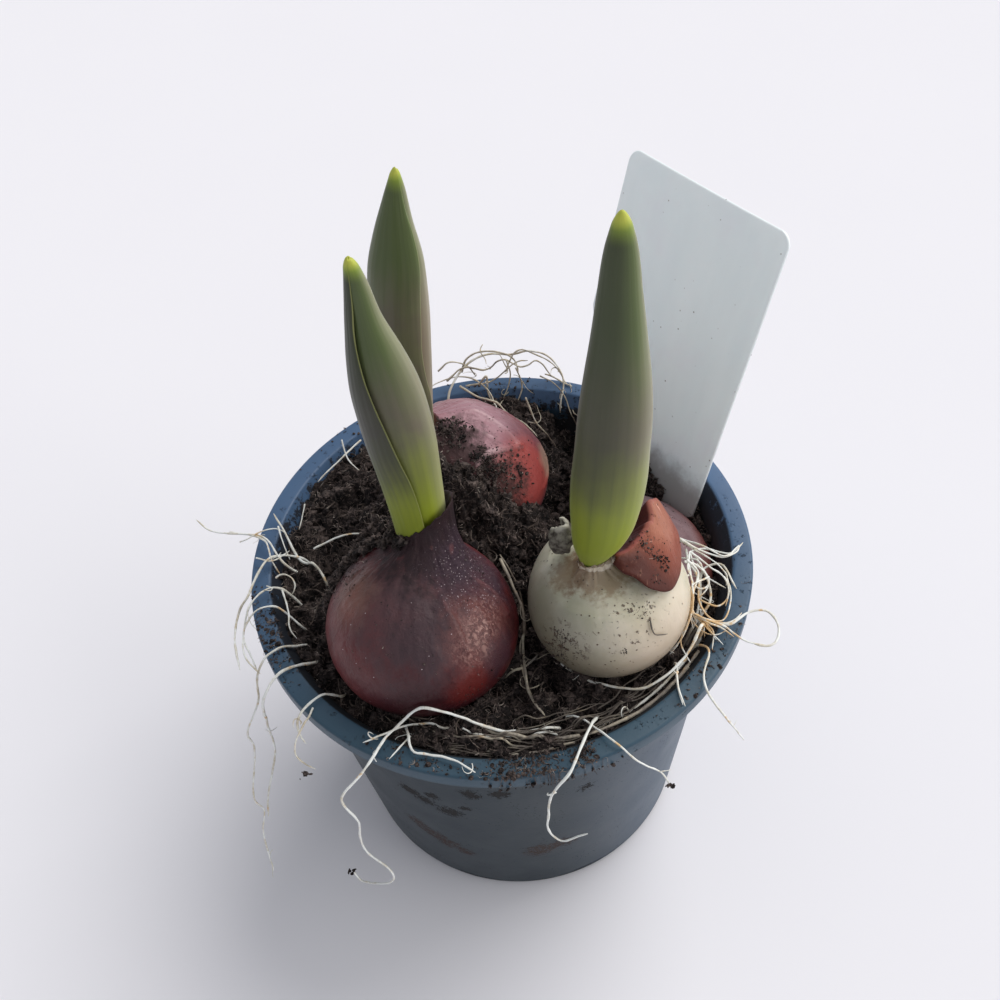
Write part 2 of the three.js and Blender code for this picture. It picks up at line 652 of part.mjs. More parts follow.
// One root as a thin rod along its points, from the point where its bunch meets.
function rootStrand(buried, points, radius) {
  const start = vec(points[0]);
  const under = start.clone().lerp(vec(buried), 0.3).setZ(start.z - 3.5);
  const rough = new THREE.CatmullRomCurve3([vec(buried), under, ...points.map(vec)], false, 'centripetal');
  const length = rough.getLength();
  const hidden = vec(buried).distanceTo(under) + under.distanceTo(start) + 2;
  const count = Math.ceil(length / 2.4);
  const places = rough.getSpacedPoints(count).map((point, i) => {
    const seated = (i / count) * length > hidden ? onPeat(point) : point;
    return clearOfPot(clearOfBulbs(seated));
  });
  const path = new THREE.CatmullRomCurve3(places, false, 'centripetal');
  const section = new THREE.Shape();
  for (let i = 0; i < ROOTS.sides; i += 1) {
    const angle = (2 * Math.PI * i) / ROOTS.sides;
    const [x, y] = [radius * Math.cos(angle), radius * Math.sin(angle)];
    if (i === 0) {
      section.moveTo(x, y);
    } else {
      section.lineTo(x, y);
    }
  }
  const steps = Math.max(5, Math.round(length / ROOTS.spacing));
  return solidOf(new THREE.ExtrudeGeometry(section, { steps, extrudePath: path, bevelEnabled: false }));
}

function makeRoots({ buried, strands }, grow) {
  const rods = strands.map((points) => rootStrand(buried, points, ROOTS.radius + grow));
  return rods.reduce((whole, rod) => whole.add(rod));
}

// Assembly

const group = new THREE.Group();

function add(name, solid, colour, roughness, metalness = 0) {
  const material = new THREE.MeshStandardMaterial({ color: colour, roughness, metalness, flatShading: true });
  const mesh = new THREE.Mesh(geometryOf(solid), material);
  mesh.name = name;
  group.add(mesh);
}

const pot = makePot();
const rolls = Object.fromEntries(Object.entries(SHOOTS).map(([name, shoot]) => [name, shootRoll(shoot, -GAP, 0)]));
const shootOf = { bulb_1: 'shoot_1', bulb_2: 'shoot_3', bulb_3: 'shoot_2' };

const bulbSolids = {};
for (const [name, bulb] of Object.entries(BULBS)) {
  const whole = bulbSkin(bulb, 0);
  bulbSolids[name] = name in shootOf ? mainBody(whole.subtract(rolls[shootOf[name]])) : whole;
}
const bulbCutters = Object.values(BULBS).map((bulb) => bulbSkin(bulb, GAP));
const bulbHoles = Object.values(BULBS).map((bulb) => bulbSkin(bulb, HOLE_GAP, HOLE_GRID));
const labelCutter = makeLabel(GAP);
bulbSolids.bulb_4 = mainBody(bulbSolids.bulb_4.subtract(bulbCutters[1]).subtract(labelCutter));

const flap = mainBody(makeFlap().subtract(bulbCutters[1]).subtract(rolls.shoot_3));
const husk = mainBody(makeHusk().subtract(bulbCutters[1]).subtract(rolls.shoot_3));

const rootCutters = Object.values(ROOT_BUNCHES).map((bunch) => makeRoots(bunch, GAP));

add('pot', pot, 0x566f86, 0.42);
add('soil', makeSoil([...bulbHoles, labelCutter, ...rootCutters]), 0x2a211c, 0.95);
add('bulb_1', bulbSolids.bulb_1, 0x5c3236, 0.4);
add('bulb_2', bulbSolids.bulb_2, 0xc9c2ae, 0.35);
add('bulb_2_tunic', flap, 0x8c4a36, 0.5);
add('bulb_2_husk', husk, 0x6d6a5c, 0.9);
add('bulb_3', bulbSolids.bulb_3, 0xa2565a, 0.4);
add('bulb_4', bulbSolids.bulb_4, 0x6e4c4e, 0.45);
for (const [name, shoot] of Object.entries(SHOOTS)) {
  add(`${name}_outer_leaf`, outerLeaf(shoot), 0x6f7d52, 0.5);
  add(`${name}_inner_leaf`, shootRoll(shoot, LEAF.thickness + GAP, 0.06), 0x7c8a55, 0.5);
}
add('label', makeLabel(0), 0xdfe4e8, 0.3);
const rimGuard = makeRimGuard();
for (const [name, bunch] of Object.entries(ROOT_BUNCHES)) {
  add(name, mainBody(makeRoots(bunch, 0).subtract(rimGuard)), 0xd9d2c2, 0.6);
}

export default group;
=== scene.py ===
"""Potted tulip bulbs: the finished look of the pot, peat, bulbs, leaf spears, label and roots.

Shapes are worked out in millimetres in the frame of the solids (+Z up, the origin at the middle of the
pot's base, -Y towards the viewer), and go into the meshes in metres.
"""

import logging
import math
from dataclasses import dataclass, field
from enum import Enum, IntEnum
from typing import Any, Optional, Sequence, Union

import bpy
import numpy as np
from mathutils import Matrix, Vector

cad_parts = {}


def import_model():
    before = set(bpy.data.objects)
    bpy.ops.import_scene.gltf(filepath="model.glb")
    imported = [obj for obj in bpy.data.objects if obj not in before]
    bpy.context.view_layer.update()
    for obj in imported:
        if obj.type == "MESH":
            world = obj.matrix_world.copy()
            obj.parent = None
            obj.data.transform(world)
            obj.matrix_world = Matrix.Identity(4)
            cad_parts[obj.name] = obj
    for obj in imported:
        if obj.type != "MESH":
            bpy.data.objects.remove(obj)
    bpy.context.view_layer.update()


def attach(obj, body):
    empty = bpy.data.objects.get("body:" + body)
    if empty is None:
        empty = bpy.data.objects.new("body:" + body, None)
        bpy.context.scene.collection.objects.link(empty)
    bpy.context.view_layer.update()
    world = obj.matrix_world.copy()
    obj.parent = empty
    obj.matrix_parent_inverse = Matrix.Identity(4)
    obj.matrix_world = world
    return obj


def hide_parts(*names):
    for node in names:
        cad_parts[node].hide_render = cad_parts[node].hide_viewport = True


LOG = logging.getLogger("potted_bulbs")
MM = 0.001
# Number of the values that a noise lattice repeats after, a power of two.
LATTICE = 4096
Array = np.ndarray
Point = tuple[float, float, float]
Colour = tuple[float, float, float, float]


class Seed(IntEnum):
    """Seeds of the random draws that aren't given with a bulb or a bunch of roots."""

    GROUND = 11
    CRUMB_PLACES = 20
    CRUMB_SIZES = 21
    CRUMB_SHAPES = 22
    FIBRES = 30
    TWIG_PLACES = 34
    TWIG_SHAPES = 35
    FLAP = 61
    ROOT_MAT = 64
    HUSK = 71
    STRAY_PLACES = 90
    STRAY_SHAPES = 91
    STRAY_FIBRES = 92
    FINE_FIBRES = 130


# Small shared maths


def tone(red: float, green: float, blue: float) -> Colour:
    """Linear colour of a display colour that is given in steps from 0 to 255.

    Args:
        red: Red share.
        green: Green share.
        blue: Blue share.

    Returns:
        Red, green, blue and a full alpha, each linear from 0 to 1.
    """
    shares = np.array([red, green, blue]) / 255.0
    linear = np.where(shares <= 0.04045, shares / 12.92, ((shares + 0.055) / 1.055) ** 2.4)
    return (*map(float, linear), 1.0)


def unit(vectors: Array) -> Array:
    """Vectors of length one along the last axis."""
    return vectors / np.maximum(np.linalg.norm(vectors, axis=-1, keepdims=True), 1e-9)


def circle(count: int) -> Array:
    """Angles of evenly spaced places round a circle, in radians."""
    return 2 * np.pi * np.arange(count) / count


def steps_of(path: Array) -> Array:
    """Length of each step of a path."""
    return np.linalg.norm(np.diff(path, axis=0), axis=1)


def turned(radius: Union[float, Array], angle: Array, z: Union[float, Array]) -> Array:
    """Points at a radius and an angle round +Z, and at a height."""
    return np.stack(np.broadcast_arrays(radius * np.cos(angle), radius * np.sin(angle), z), axis=-1)


def smooth(low: float, high: float, values: Array) -> Array:
    """Soft step 3t^2 - 2t^3 with t running from 0 at low to 1 at high."""
    t = np.clip((values - low) / (high - low), 0.0, 1.0)
    return t * t * (3.0 - 2.0 * t)


def along(entries: Sequence, t: Array) -> Array:
    """Values of evenly stepped entries on a smooth curve through them.

    A Catmull-Rom cubic through the entries before, at, after and beyond each place.

    Args:
        entries: Numbers or points at even steps.
        t: Places from 0 to 1.

    Returns:
        One value or point for each place.
    """
    table = np.asarray(entries, dtype=float)
    last = len(table) - 1
    place = np.clip(t, 0.0, 1.0) * last
    k = np.minimum(np.floor(place).astype(int), last - 1)
    f = place - k
    if table.ndim > 1:
        f = f[..., None]
    a, b, c, d = (table[np.clip(k + step, 0, last)] for step in (-1, 0, 1, 2))
    return b + 0.5 * f * (c - a + f * (2 * a - 5 * b + 4 * c - d + f * (3 * (b - c) + d - a)))


class Grain:
    """Seeded value noise in space, from -1 to 1: random values on a lattice, blended by soft steps."""

    def __init__(self, seed: int) -> None:
        """Draw the lattice's values.

        Args:
            seed: Seed of the random draw.
        """
        draw = np.random.default_rng(seed)
        self.order = draw.permutation(LATTICE)
        self.values = draw.uniform(-1.0, 1.0, LATTICE)

    def _layer(self, places: Array) -> Array:
        """One layer of noise: the eight corners of each cell, weighed by soft steps."""
        cell = np.floor(places).astype(int)
        part = places - cell
        part = part * part * (3.0 - 2.0 * part)
        total = np.zeros(places.shape[:-1])
        for corner in range(8):
            step = np.array([corner & 1, (corner >> 1) & 1, (corner >> 2) & 1])
            key = 0
            for axis in range(3):
                key = self.order[(key + cell[..., axis] + step[axis]) & (LATTICE - 1)]
            weight = np.prod(np.where(step == 1, part, 1.0 - part), axis=-1)
            total += weight * self.values[key]
        return total

    def __call__(self, places: Array, size: float, layers: int = 1) -> Array:
        """Noise whose lumps are about size wide, each further layer half as wide and half as strong.

        Args:
            places: Points in millimetres.
            size: Width of the largest lumps.
            layers: Number of layers.

        Returns:
            One number for each point.
        """
        total = np.zeros(places.shape[:-1])
        for layer in range(layers):
            total += self._layer(places * (2.0**layer / size) + 31.7 * layer) * 0.5**layer
        return total


# Meshes


@dataclass
class Shell:
    """Points and faces of a closed surface, with a place on the surface for each corner of a face."""

    points: Array
    faces: Array
    corners: Array

    @staticmethod
    def joined(shells: Sequence["Shell"]) -> "Shell":
        """Several surfaces as one.

        Args:
            shells: Surfaces whose faces have equal corner counts.

        Returns:
            One surface that holds them all.
        """
        starts = np.cumsum([0] + [len(shell.points) for shell in shells[:-1]])
        faces = np.concatenate([shell.faces + start for shell, start in zip(shells, starts)])
        points = np.concatenate([shell.points for shell in shells])
        return Shell(points, faces, np.concatenate([shell.corners for shell in shells]))


def closed_skin(rings: Array, low_end: Array, high_end: Array) -> Shell:
    """Closed skin over rings, with a point at either end.

    Ring k and ring k + 1 are joined by two triangles for each step round, and each end by a fan.

    Args:
        rings: Points as (ring, place round, xyz), anticlockwise seen from the high end.
        low_end: Point that closes the lowest ring.
        high_end: Point that closes the highest ring.

    Returns:
        The skin. A corner's place is (share of a turn, share of the way up).
    """
    count, sides = rings.shape[:2]
    i = np.arange(sides)[:, None]
    # The six corners of a cell's two triangles: steps round and steps up.
    turn, rise = i + [0, 1, 1, 0, 1, 0], np.arange(count - 1)[:, None, None] + [0, 0, 1, 0, 1, 1]
    faces = [(rise * sides + turn % sides).reshape(-1, 3)]
    u, v = np.broadcast_arrays(turn / sides, rise / (count - 1))
    corners = [np.stack([u, v], axis=-1).reshape(-1, 3, 2)]
    for end, level, order in ((0, 0, [1, 0]), (1, count - 1, [0, 1])):
        edge = level * sides + (i + order) % sides
        faces.append(np.concatenate([np.full((sides, 1), count * sides + end), edge], axis=1))
        u = np.concatenate([i + 0.5, i + order], axis=1) / sides
        corners.append(np.stack([u, np.full(u.shape, end)], axis=-1))
    points = np.concatenate([rings.reshape(-1, 3), [low_end], [high_end]])
    return Shell(points, np.concatenate(faces), np.concatenate(corners))


def thin_sheet(front: Array, back: Array) -> Shell:
    """Closed sheet between a front grid and a back grid of points.

    Each grid becomes two triangles a cell, and the four edges are joined front to back.

    Args:
        front: Points as (row, column, xyz), rows upwards and columns to the right seen from the front.
        back: The same grid, one thickness behind.

    Returns:
        The sheet. A corner's place is (share across, share up).
    """
    rows, columns = front.shape[:2]
    size = rows * columns
    low = np.arange(columns - 1)
    high = low + (rows - 1) * columns
    left = np.arange(rows - 1) * columns
    right = left + columns - 1
    a = (left[:, None] + low).ravel()
    b, c, d = a + 1, a + columns + 1, a + columns
    cells = (
        (a, b, c, d), (c + size, b + size, a + size, d + size),
        (left, left + columns, left + columns + size, left + size),
        (right, right + size, right + columns + size, right + columns),
        (low, low + size, low + 1 + size, low + 1), (high, high + 1, high + 1 + size, high + size),
    )
    faces = np.concatenate([np.stack(part, -1) for p, q, r, s in cells for part in ((p, q, r), (p, r, s))])
    index = faces % size
    corners = np.stack([(index % columns) / (columns - 1), (index // columns) / (rows - 1)], axis=-1)
    return Shell(np.concatenate([front.reshape(-1, 3), back.reshape(-1, 3)]), faces, corners)


def thickened(sheet: Array, u: Array, v: Array, half: float, edges: tuple[float, float, float]) -> Shell:
    """Closed sheet of even thickness round a middle grid, thinned in a round at its four edges.

    Args:
        sheet: Middle points as (row, column, xyz).
        u: Place of each column, from 0 to 1.
        v: Place of each row, from 0 to 1.
        half: Half of the thickness.
        edges: How wide the thinned edges are across and up, and the least share that is left, squared.

    Returns:
        The sheet.
    """
    across, up, least = edges
    facing = unit(np.cross(np.gradient(sheet, axis=1), np.gradient(sheet, axis=0)))
    edge = np.minimum(np.minimum(v, 1 - v) / up, np.minimum(u, 1 - u) / across)
    depth = half * np.sqrt(np.clip(edge, least, 1))[..., None]
    return thin_sheet(sheet + facing * depth, sheet - facing * depth)


def thread_bundle(paths: Array, radii: Array, sides: int, tips: float = 0.6) -> Shell:
    """Round threads along paths, all as one surface.

    At each point of a path, a ring of the given radius stands square to the path. Its first direction
    is the one before it with the part along the path taken out, so that the threads don't twist.

    Args:
        paths: Points as (thread, step, xyz).
        radii: Radius as (thread, step).
        sides: Points of a ring.
        tips: How far a thread's ends stand out beyond its last rings, in radii.

    Returns:
        The threads. A corner's place is (share of a turn, share along the thread).
    """
    threads, steps = paths.shape[:2]
    way = unit(np.gradient(paths, axis=1))
    helper = np.where(np.abs(way[:, :1, 2:]) < 0.8, [[[0.0, 0.0, 1.0]]], [[[1.0, 0.0, 0.0]]])
    side = np.empty_like(paths)
    side[:, 0] = unit(np.cross(way[:, 0], helper[:, 0]))
    for step in range(1, steps):
        last = side[:, step - 1]
        side[:, step] = unit(last - way[:, step] * np.sum(last * way[:, step], axis=-1, keepdims=True))
    other = np.cross(way, side)
    angle = circle(sides)
    spread = side[:, :, None] * np.cos(angle)[:, None] + other[:, :, None] * np.sin(angle)[:, None]
    rings = paths[:, :, None] + spread * radii[:, :, None, None]
    low = paths[:, 0] - way[:, 0] * radii[:, :1] * tips
    high = paths[:, -1] + way[:, -1] * radii[:, -1:] * tips
    model = closed_skin(rings[0], low[0], high[0])
    points = np.concatenate([rings.reshape(threads, -1, 3), low[:, None], high[:, None]], axis=1)
    size = points.shape[1]
    faces = model.faces[None] + (np.arange(threads) * size)[:, None, None]
    corners = np.broadcast_to(model.corners, (threads, *model.corners.shape))
    return Shell(points.reshape(-1, 3), faces.reshape(-1, 3), corners.reshape(-1, 3, 2))


def crumb_heap(places: Array, sizes: Array, seed: int, flat: float = 0.75) -> Shell:
    """Small uneven lumps, all as one surface.

    Each is an icosahedron whose twelve points are drawn out or in by up to a third and stretched along
    three random directions.

    Args:
        places: Middle of each lump.
        sizes: Radius of each lump.
        seed: Seed of the random draw.
        flat: Height of a lump against its width.

    Returns:
        The lumps. A corner's place is (random share of its lump, the same).
    """
    draw = np.random.default_rng(seed)
    g = (1 + 5**0.5) / 2
    base = np.array(
        [[-1, g, 0], [1, g, 0], [-1, -g, 0], [1, -g, 0], [0, -1, g], [0, 1, g],
         [0, -1, -g], [0, 1, -g], [g, 0, -1], [g, 0, 1], [-g, 0, -1], [-g, 0, 1]]
    ) / (1 + g * g) ** 0.5
    faces = np.array(
        [[0, 11, 5], [0, 5, 1], [0, 1, 7], [0, 7, 10], [0, 10, 11], [1, 5, 9], [5, 11, 4], [11, 10, 2],
         [10, 7, 6], [7, 1, 8], [3, 9, 4], [3, 4, 2], [3, 2, 6], [3, 6, 8], [3, 8, 9], [4, 9, 5],
         [2, 4, 11], [6, 2, 10], [8, 6, 7], [9, 8, 1]]
    )
    count = len(places)
    turn = np.linalg.qr(draw.normal(size=(count, 3, 3)))[0]
    turn *= np.sign(np.linalg.det(turn))[:, None, None]
    stretch = draw.uniform(0.4, 1.6, (count, 1, 3))
    shape = base[None] * draw.uniform(0.7, 1.3, (count, 12, 1)) * stretch
    shape = shape @ turn
    shape[..., 2] *= flat
    points = places[:, None] + shape * sizes[:, None, None]
    all_faces = faces[None] + (np.arange(count) * 12)[:, None, None]
    share = np.broadcast_to(draw.uniform(size=(count, 1, 1, 1)), (count, 20, 3, 2))
    return Shell(points.reshape(-1, 3), all_faces.reshape(-1, 3), share.reshape(-1, 3, 2))


def make_piece(
    name: str, shell: Shell, material: bpy.types.Material, rounded: bool = True,
) -> bpy.types.Object:
    """Blender object of a surface, riding on the plant's one body.

    Args:
        name: The object's name.
        shell: Its surface in millimetres.
        material: Its material.
        rounded: Whether its faces are shaded as a smooth surface.

    Returns:
        The new object.
    """
    mesh = bpy.data.meshes.new(name)
    count = len(shell.faces)
    mesh.vertices.add(len(shell.points))
    mesh.vertices.foreach_set("co", (shell.points * MM).astype(np.float32).ravel())
    mesh.loops.add(count * 3)
    mesh.loops.foreach_set("vertex_index", shell.faces.astype(np.int32).ravel())
    mesh.polygons.add(count)
    mesh.polygons.foreach_set("loop_start", np.arange(0, count * 3, 3, dtype=np.int32))
    mesh.polygons.foreach_set("use_smooth", np.full(count, rounded))
    layer = mesh.uv_layers.new(name="surface")
    layer.data.foreach_set("uv", shell.corners.astype(np.float32).ravel())
    mesh.update(calc_edges=True)
    mesh.validate()
    mesh.materials.append(material)
    piece = bpy.data.objects.new(name, mesh)
    bpy.context.scene.collection.objects.link(piece)
    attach(piece, "root")
    return piece


# Shader maths


Number = Union["Signal", float]


class Signal:
    """A shader socket that Python's own operators work on."""

    def __init__(self, finish: "FinishTree", socket: bpy.types.NodeSocket) -> None:
        """Wrap a socket.

        Args:
            finish: The node tree that the socket belongs to.
            socket: The output socket.
        """
        self.finish = finish
        self.socket = socket

    def _maths(self, operation: str, first: Number, second: Number, clamp: bool = False) -> "Signal":
        """One Math node."""
        settings = {"operation": operation, "use_clamp": clamp}
        return self.finish.node("ShaderNodeMath", settings, {0: first, 1: second})

    def __add__(self, other: Number) -> "Signal":
        """Sum."""
        return self._maths("ADD", self, other)

    __radd__ = __add__

    def __sub__(self, other: Number) -> "Signal":
        """Difference."""
        return self._maths("SUBTRACT", self, other)

    def __rsub__(self, other: Number) -> "Signal":
        """Difference from a number."""
        return self._maths("SUBTRACT", other, self)

    def __mul__(self, other: Number) -> "Signal":
        """Product."""
        return self._maths("MULTIPLY", self, other)

    __rmul__ = __mul__

    def __truediv__(self, other: Number) -> "Signal":
        """Quotient."""
        return self._maths("DIVIDE", self, other)

    def clamp(self) -> "Signal":
        """The value kept from 0 to 1."""
        return self._maths("ADD", self, 0.0, clamp=True)

    def sine(self) -> "Signal":
        """Sine of the value in radians."""
        return self._maths("SINE", self, 0.0)

    def step(self, low: float, high: float) -> "Signal":
        """Soft step from 0 at low to 1 at high, or the other way round where low is the larger."""
        ends = {3: 0.0, 4: 1.0} if low < high else {3: 1.0, 4: 0.0}
        inputs = {0: self, 1: min(low, high), 2: max(low, high), **ends}
        return self.finish.node("ShaderNodeMapRange", {"interpolation_type": "SMOOTHSTEP"}, inputs)


class FinishTree:
    """Node tree of one material, with the nodes that a natural finish is made of."""

    def __init__(self, name: str) -> None:
        """Start a material.

        Args:
            name: The material's name.
        """
        self.material = bpy.data.materials.new(name)
        self.material.use_nodes = True
        self.tree = self.material.node_tree
        self.tree.nodes.clear()
        self.out = self.tree.nodes.new("ShaderNodeOutputMaterial")
        place = self.node("ShaderNodeTexCoord", {}, {}, output="Object")
        self.place = self.vector("SCALE", {0: place, "Scale": 1 / MM})
        self.surface = self.node("ShaderNodeUVMap", {"uv_map": "surface"}, {})
        self.u, self.v, _ = self._numbers(self.surface)
        self.x, self.y, self.z = self._numbers(self.place)

    def _numbers(self, vector: Signal) -> list[Signal]:
        """The three numbers of a vector."""
        split = self.node("ShaderNodeSeparateXYZ", {}, {0: vector}).socket.node
        return [Signal(self, output) for output in split.outputs]

    def crease(self) -> Signal:
        """Height of the bulb's creases in millimetres, from the mesh's own attribute."""
        return self.node("ShaderNodeAttribute", {"attribute_name": "crease"}, {}, output="Fac")

    def node(self, kind: str, settings: dict[str, Any], inputs: dict, output: Union[int, str] = 0) -> Signal:
        """Add a node.

        Args:
            kind: The node's type.
            settings: Its own settings.
            inputs: Values or signals by socket.
            output: Which output is wanted.

        Returns:
            The output as a signal.
        """
        made = self.tree.nodes.new(kind)
        for key, value in settings.items():
            setattr(made, key, value)
        for key, value in inputs.items():
            if isinstance(value, Signal):
                self.tree.links.new(value.socket, made.inputs[key])
            else:
                made.inputs[key].default_value = value
        return Signal(self, made.outputs[output])

    def vector(self, operation: str, inputs: dict, output: Union[int, str] = 0) -> Signal:
        """Vector Math node with an operation, its inputs by socket, and the output that is wanted."""
        return self.node("ShaderNodeVectorMath", {"operation": operation}, inputs, output)

    def ramp(self, share: Signal, *stops: tuple[float, Colour]) -> Signal:
        """Colour ramp through three or more (place, colour) stops."""
        ramp = self.node("ShaderNodeValToRGB", {}, {0: share})
        elements = ramp.socket.node.color_ramp.elements
        while len(elements) < len(stops):
            elements.new(0.5)
        for element, (place, colour) in zip(elements, stops):
            element.position = place
            element.color = colour
        return ramp

    def noise(
        self, size: float, detail: float = 3.0, rough: float = 0.55, shift: float = 0.0,
        stretch: Point = (1.0, 1.0, 1.0), warp: float = 0.0, place: Optional[Signal] = None,
    ) -> Signal:
        """Noise from 0 to 1 whose lumps are about size millimetres wide.

        Args:
            size: Width of its lumps.
            detail: Number of finer layers.
            rough: Strength of the finer layers.
            shift: Shift that gives another pattern.
            stretch: How often the pattern repeats along each axis, against its size.
            warp: How strongly it is bent.
            place: Coordinates, if not the object's own.

        Returns:
            The noise.
        """
        scale = tuple(share / size for share in stretch)
        at = self.vector("MULTIPLY_ADD", {0: place or self.place, 1: scale, 2: (shift,) * 3})
        inputs = {"Vector": at, "Scale": 1.0, "Detail": detail, "Roughness": rough, "Distortion": warp}
        return self.node("ShaderNodeTexNoise", {}, inputs)

    def dots(self, size: float, shift: float, full: float, end: float) -> Signal:
        """Dots strewn in cells: 1 up to the distance full from a dot's middle, 0 beyond end.

        Args:
            size: Width of the cells in millimetres.
            shift: Shift that gives another pattern.
            full: Share of a cell's width.
            end: Larger share of a cell's width.

        Returns:
            The mask.
        """
        at = self.vector("MULTIPLY_ADD", {0: self.place, 1: (1 / size,) * 3, 2: (shift,) * 3})
        cells = self.node("ShaderNodeTexVoronoi", {"feature": "F1"}, {"Vector": at, "Scale": 1.0})
        return 1.0 - cells.step(full, end)

    def patch(self, middle: Point, size: float, soft: float = 0.5, ragged: Number = 0.0) -> Signal:
        """Patch round a point: 1 inside, 0 outside.

        Args:
            middle: Its middle in millimetres.
            size: Its radius in millimetres.
            soft: Width of its edge, as a share of its radius.
            ragged: What is added to the distance, as a share of its radius.

        Returns:
            The patch's mask.
        """
        share = self.vector("DISTANCE", {0: self.place, 1: middle}, "Value") / size + ragged
        return share.step(1.0 + soft / 2, 1.0 - soft / 2)

    def stains(self, colour: Signal, table: dict[str, tuple]) -> tuple[Signal, dict[str, Signal]]:
        """Stains over a colour, each a patch with an uneven edge.

        Args:
            colour: The colour under them.
            table: By name, each stain's middle, radius, softness, the noise in its edge, that noise's
                share, the stain's strength and its colour. Later ones lie on top.

        Returns:
            The colour with its stains, and the mask of each stain by its name.
        """
        masks = {}
        for name, (middle, size, soft, noise, share, strength, tint) in table.items():
            masks[name] = self.patch(middle, size, soft, (noise - 0.5) * share)
            colour = self.mix(masks[name] * strength, colour, tint)
        return colour, masks

    def mix(self, share: Number, first: Union[Signal, Colour], second: Union[Signal, Colour]) -> Signal:
        """First colour where share is 0, second where it is 1."""
        settings = {"data_type": "RGBA", "clamp_factor": True}
        return self.node("ShaderNodeMix", settings, {0: share, 6: first, 7: second}, output=2)

    def shade(self, share: Number, colour: Union[Signal, Colour], by: Colour) -> Signal:
        """Colour multiplied by another, where share is 1."""
        settings = {"data_type": "RGBA", "blend_type": "MULTIPLY", "clamp_factor": True}
        return self.node("ShaderNodeMix", settings, {0: share, 6: colour, 7: by}, output=2)

    def bump(self, height: Signal, depth: float, under: Optional[Signal] = None) -> Signal:
        """Normal of a relief that is depth millimetres deep."""
        inputs: dict = {"Height": height, "Distance": depth * MM, "Strength": 1.0}
        if under is not None:
            inputs["Normal"] = under
        return self.node("ShaderNodeBump", {}, inputs)

    def close(self, colour: Union[Signal, Colour], **sockets: Any) -> bpy.types.Material:
        """End the tree in one surface shader.

        Args:
            colour: Base colour.
            sockets: Other sockets of the shader, with _ for a space.

        Returns:
            The finished material.
        """
        inputs: dict = {"Base Color": colour}
        inputs.update({key.replace("_", " "): value for key, value in sockets.items()})
        shader = self.node("ShaderNodeBsdfPrincipled", {}, inputs)
        self.tree.links.new(shader.socket, self.out.inputs["Surface"])
        return self.material


# Finishes


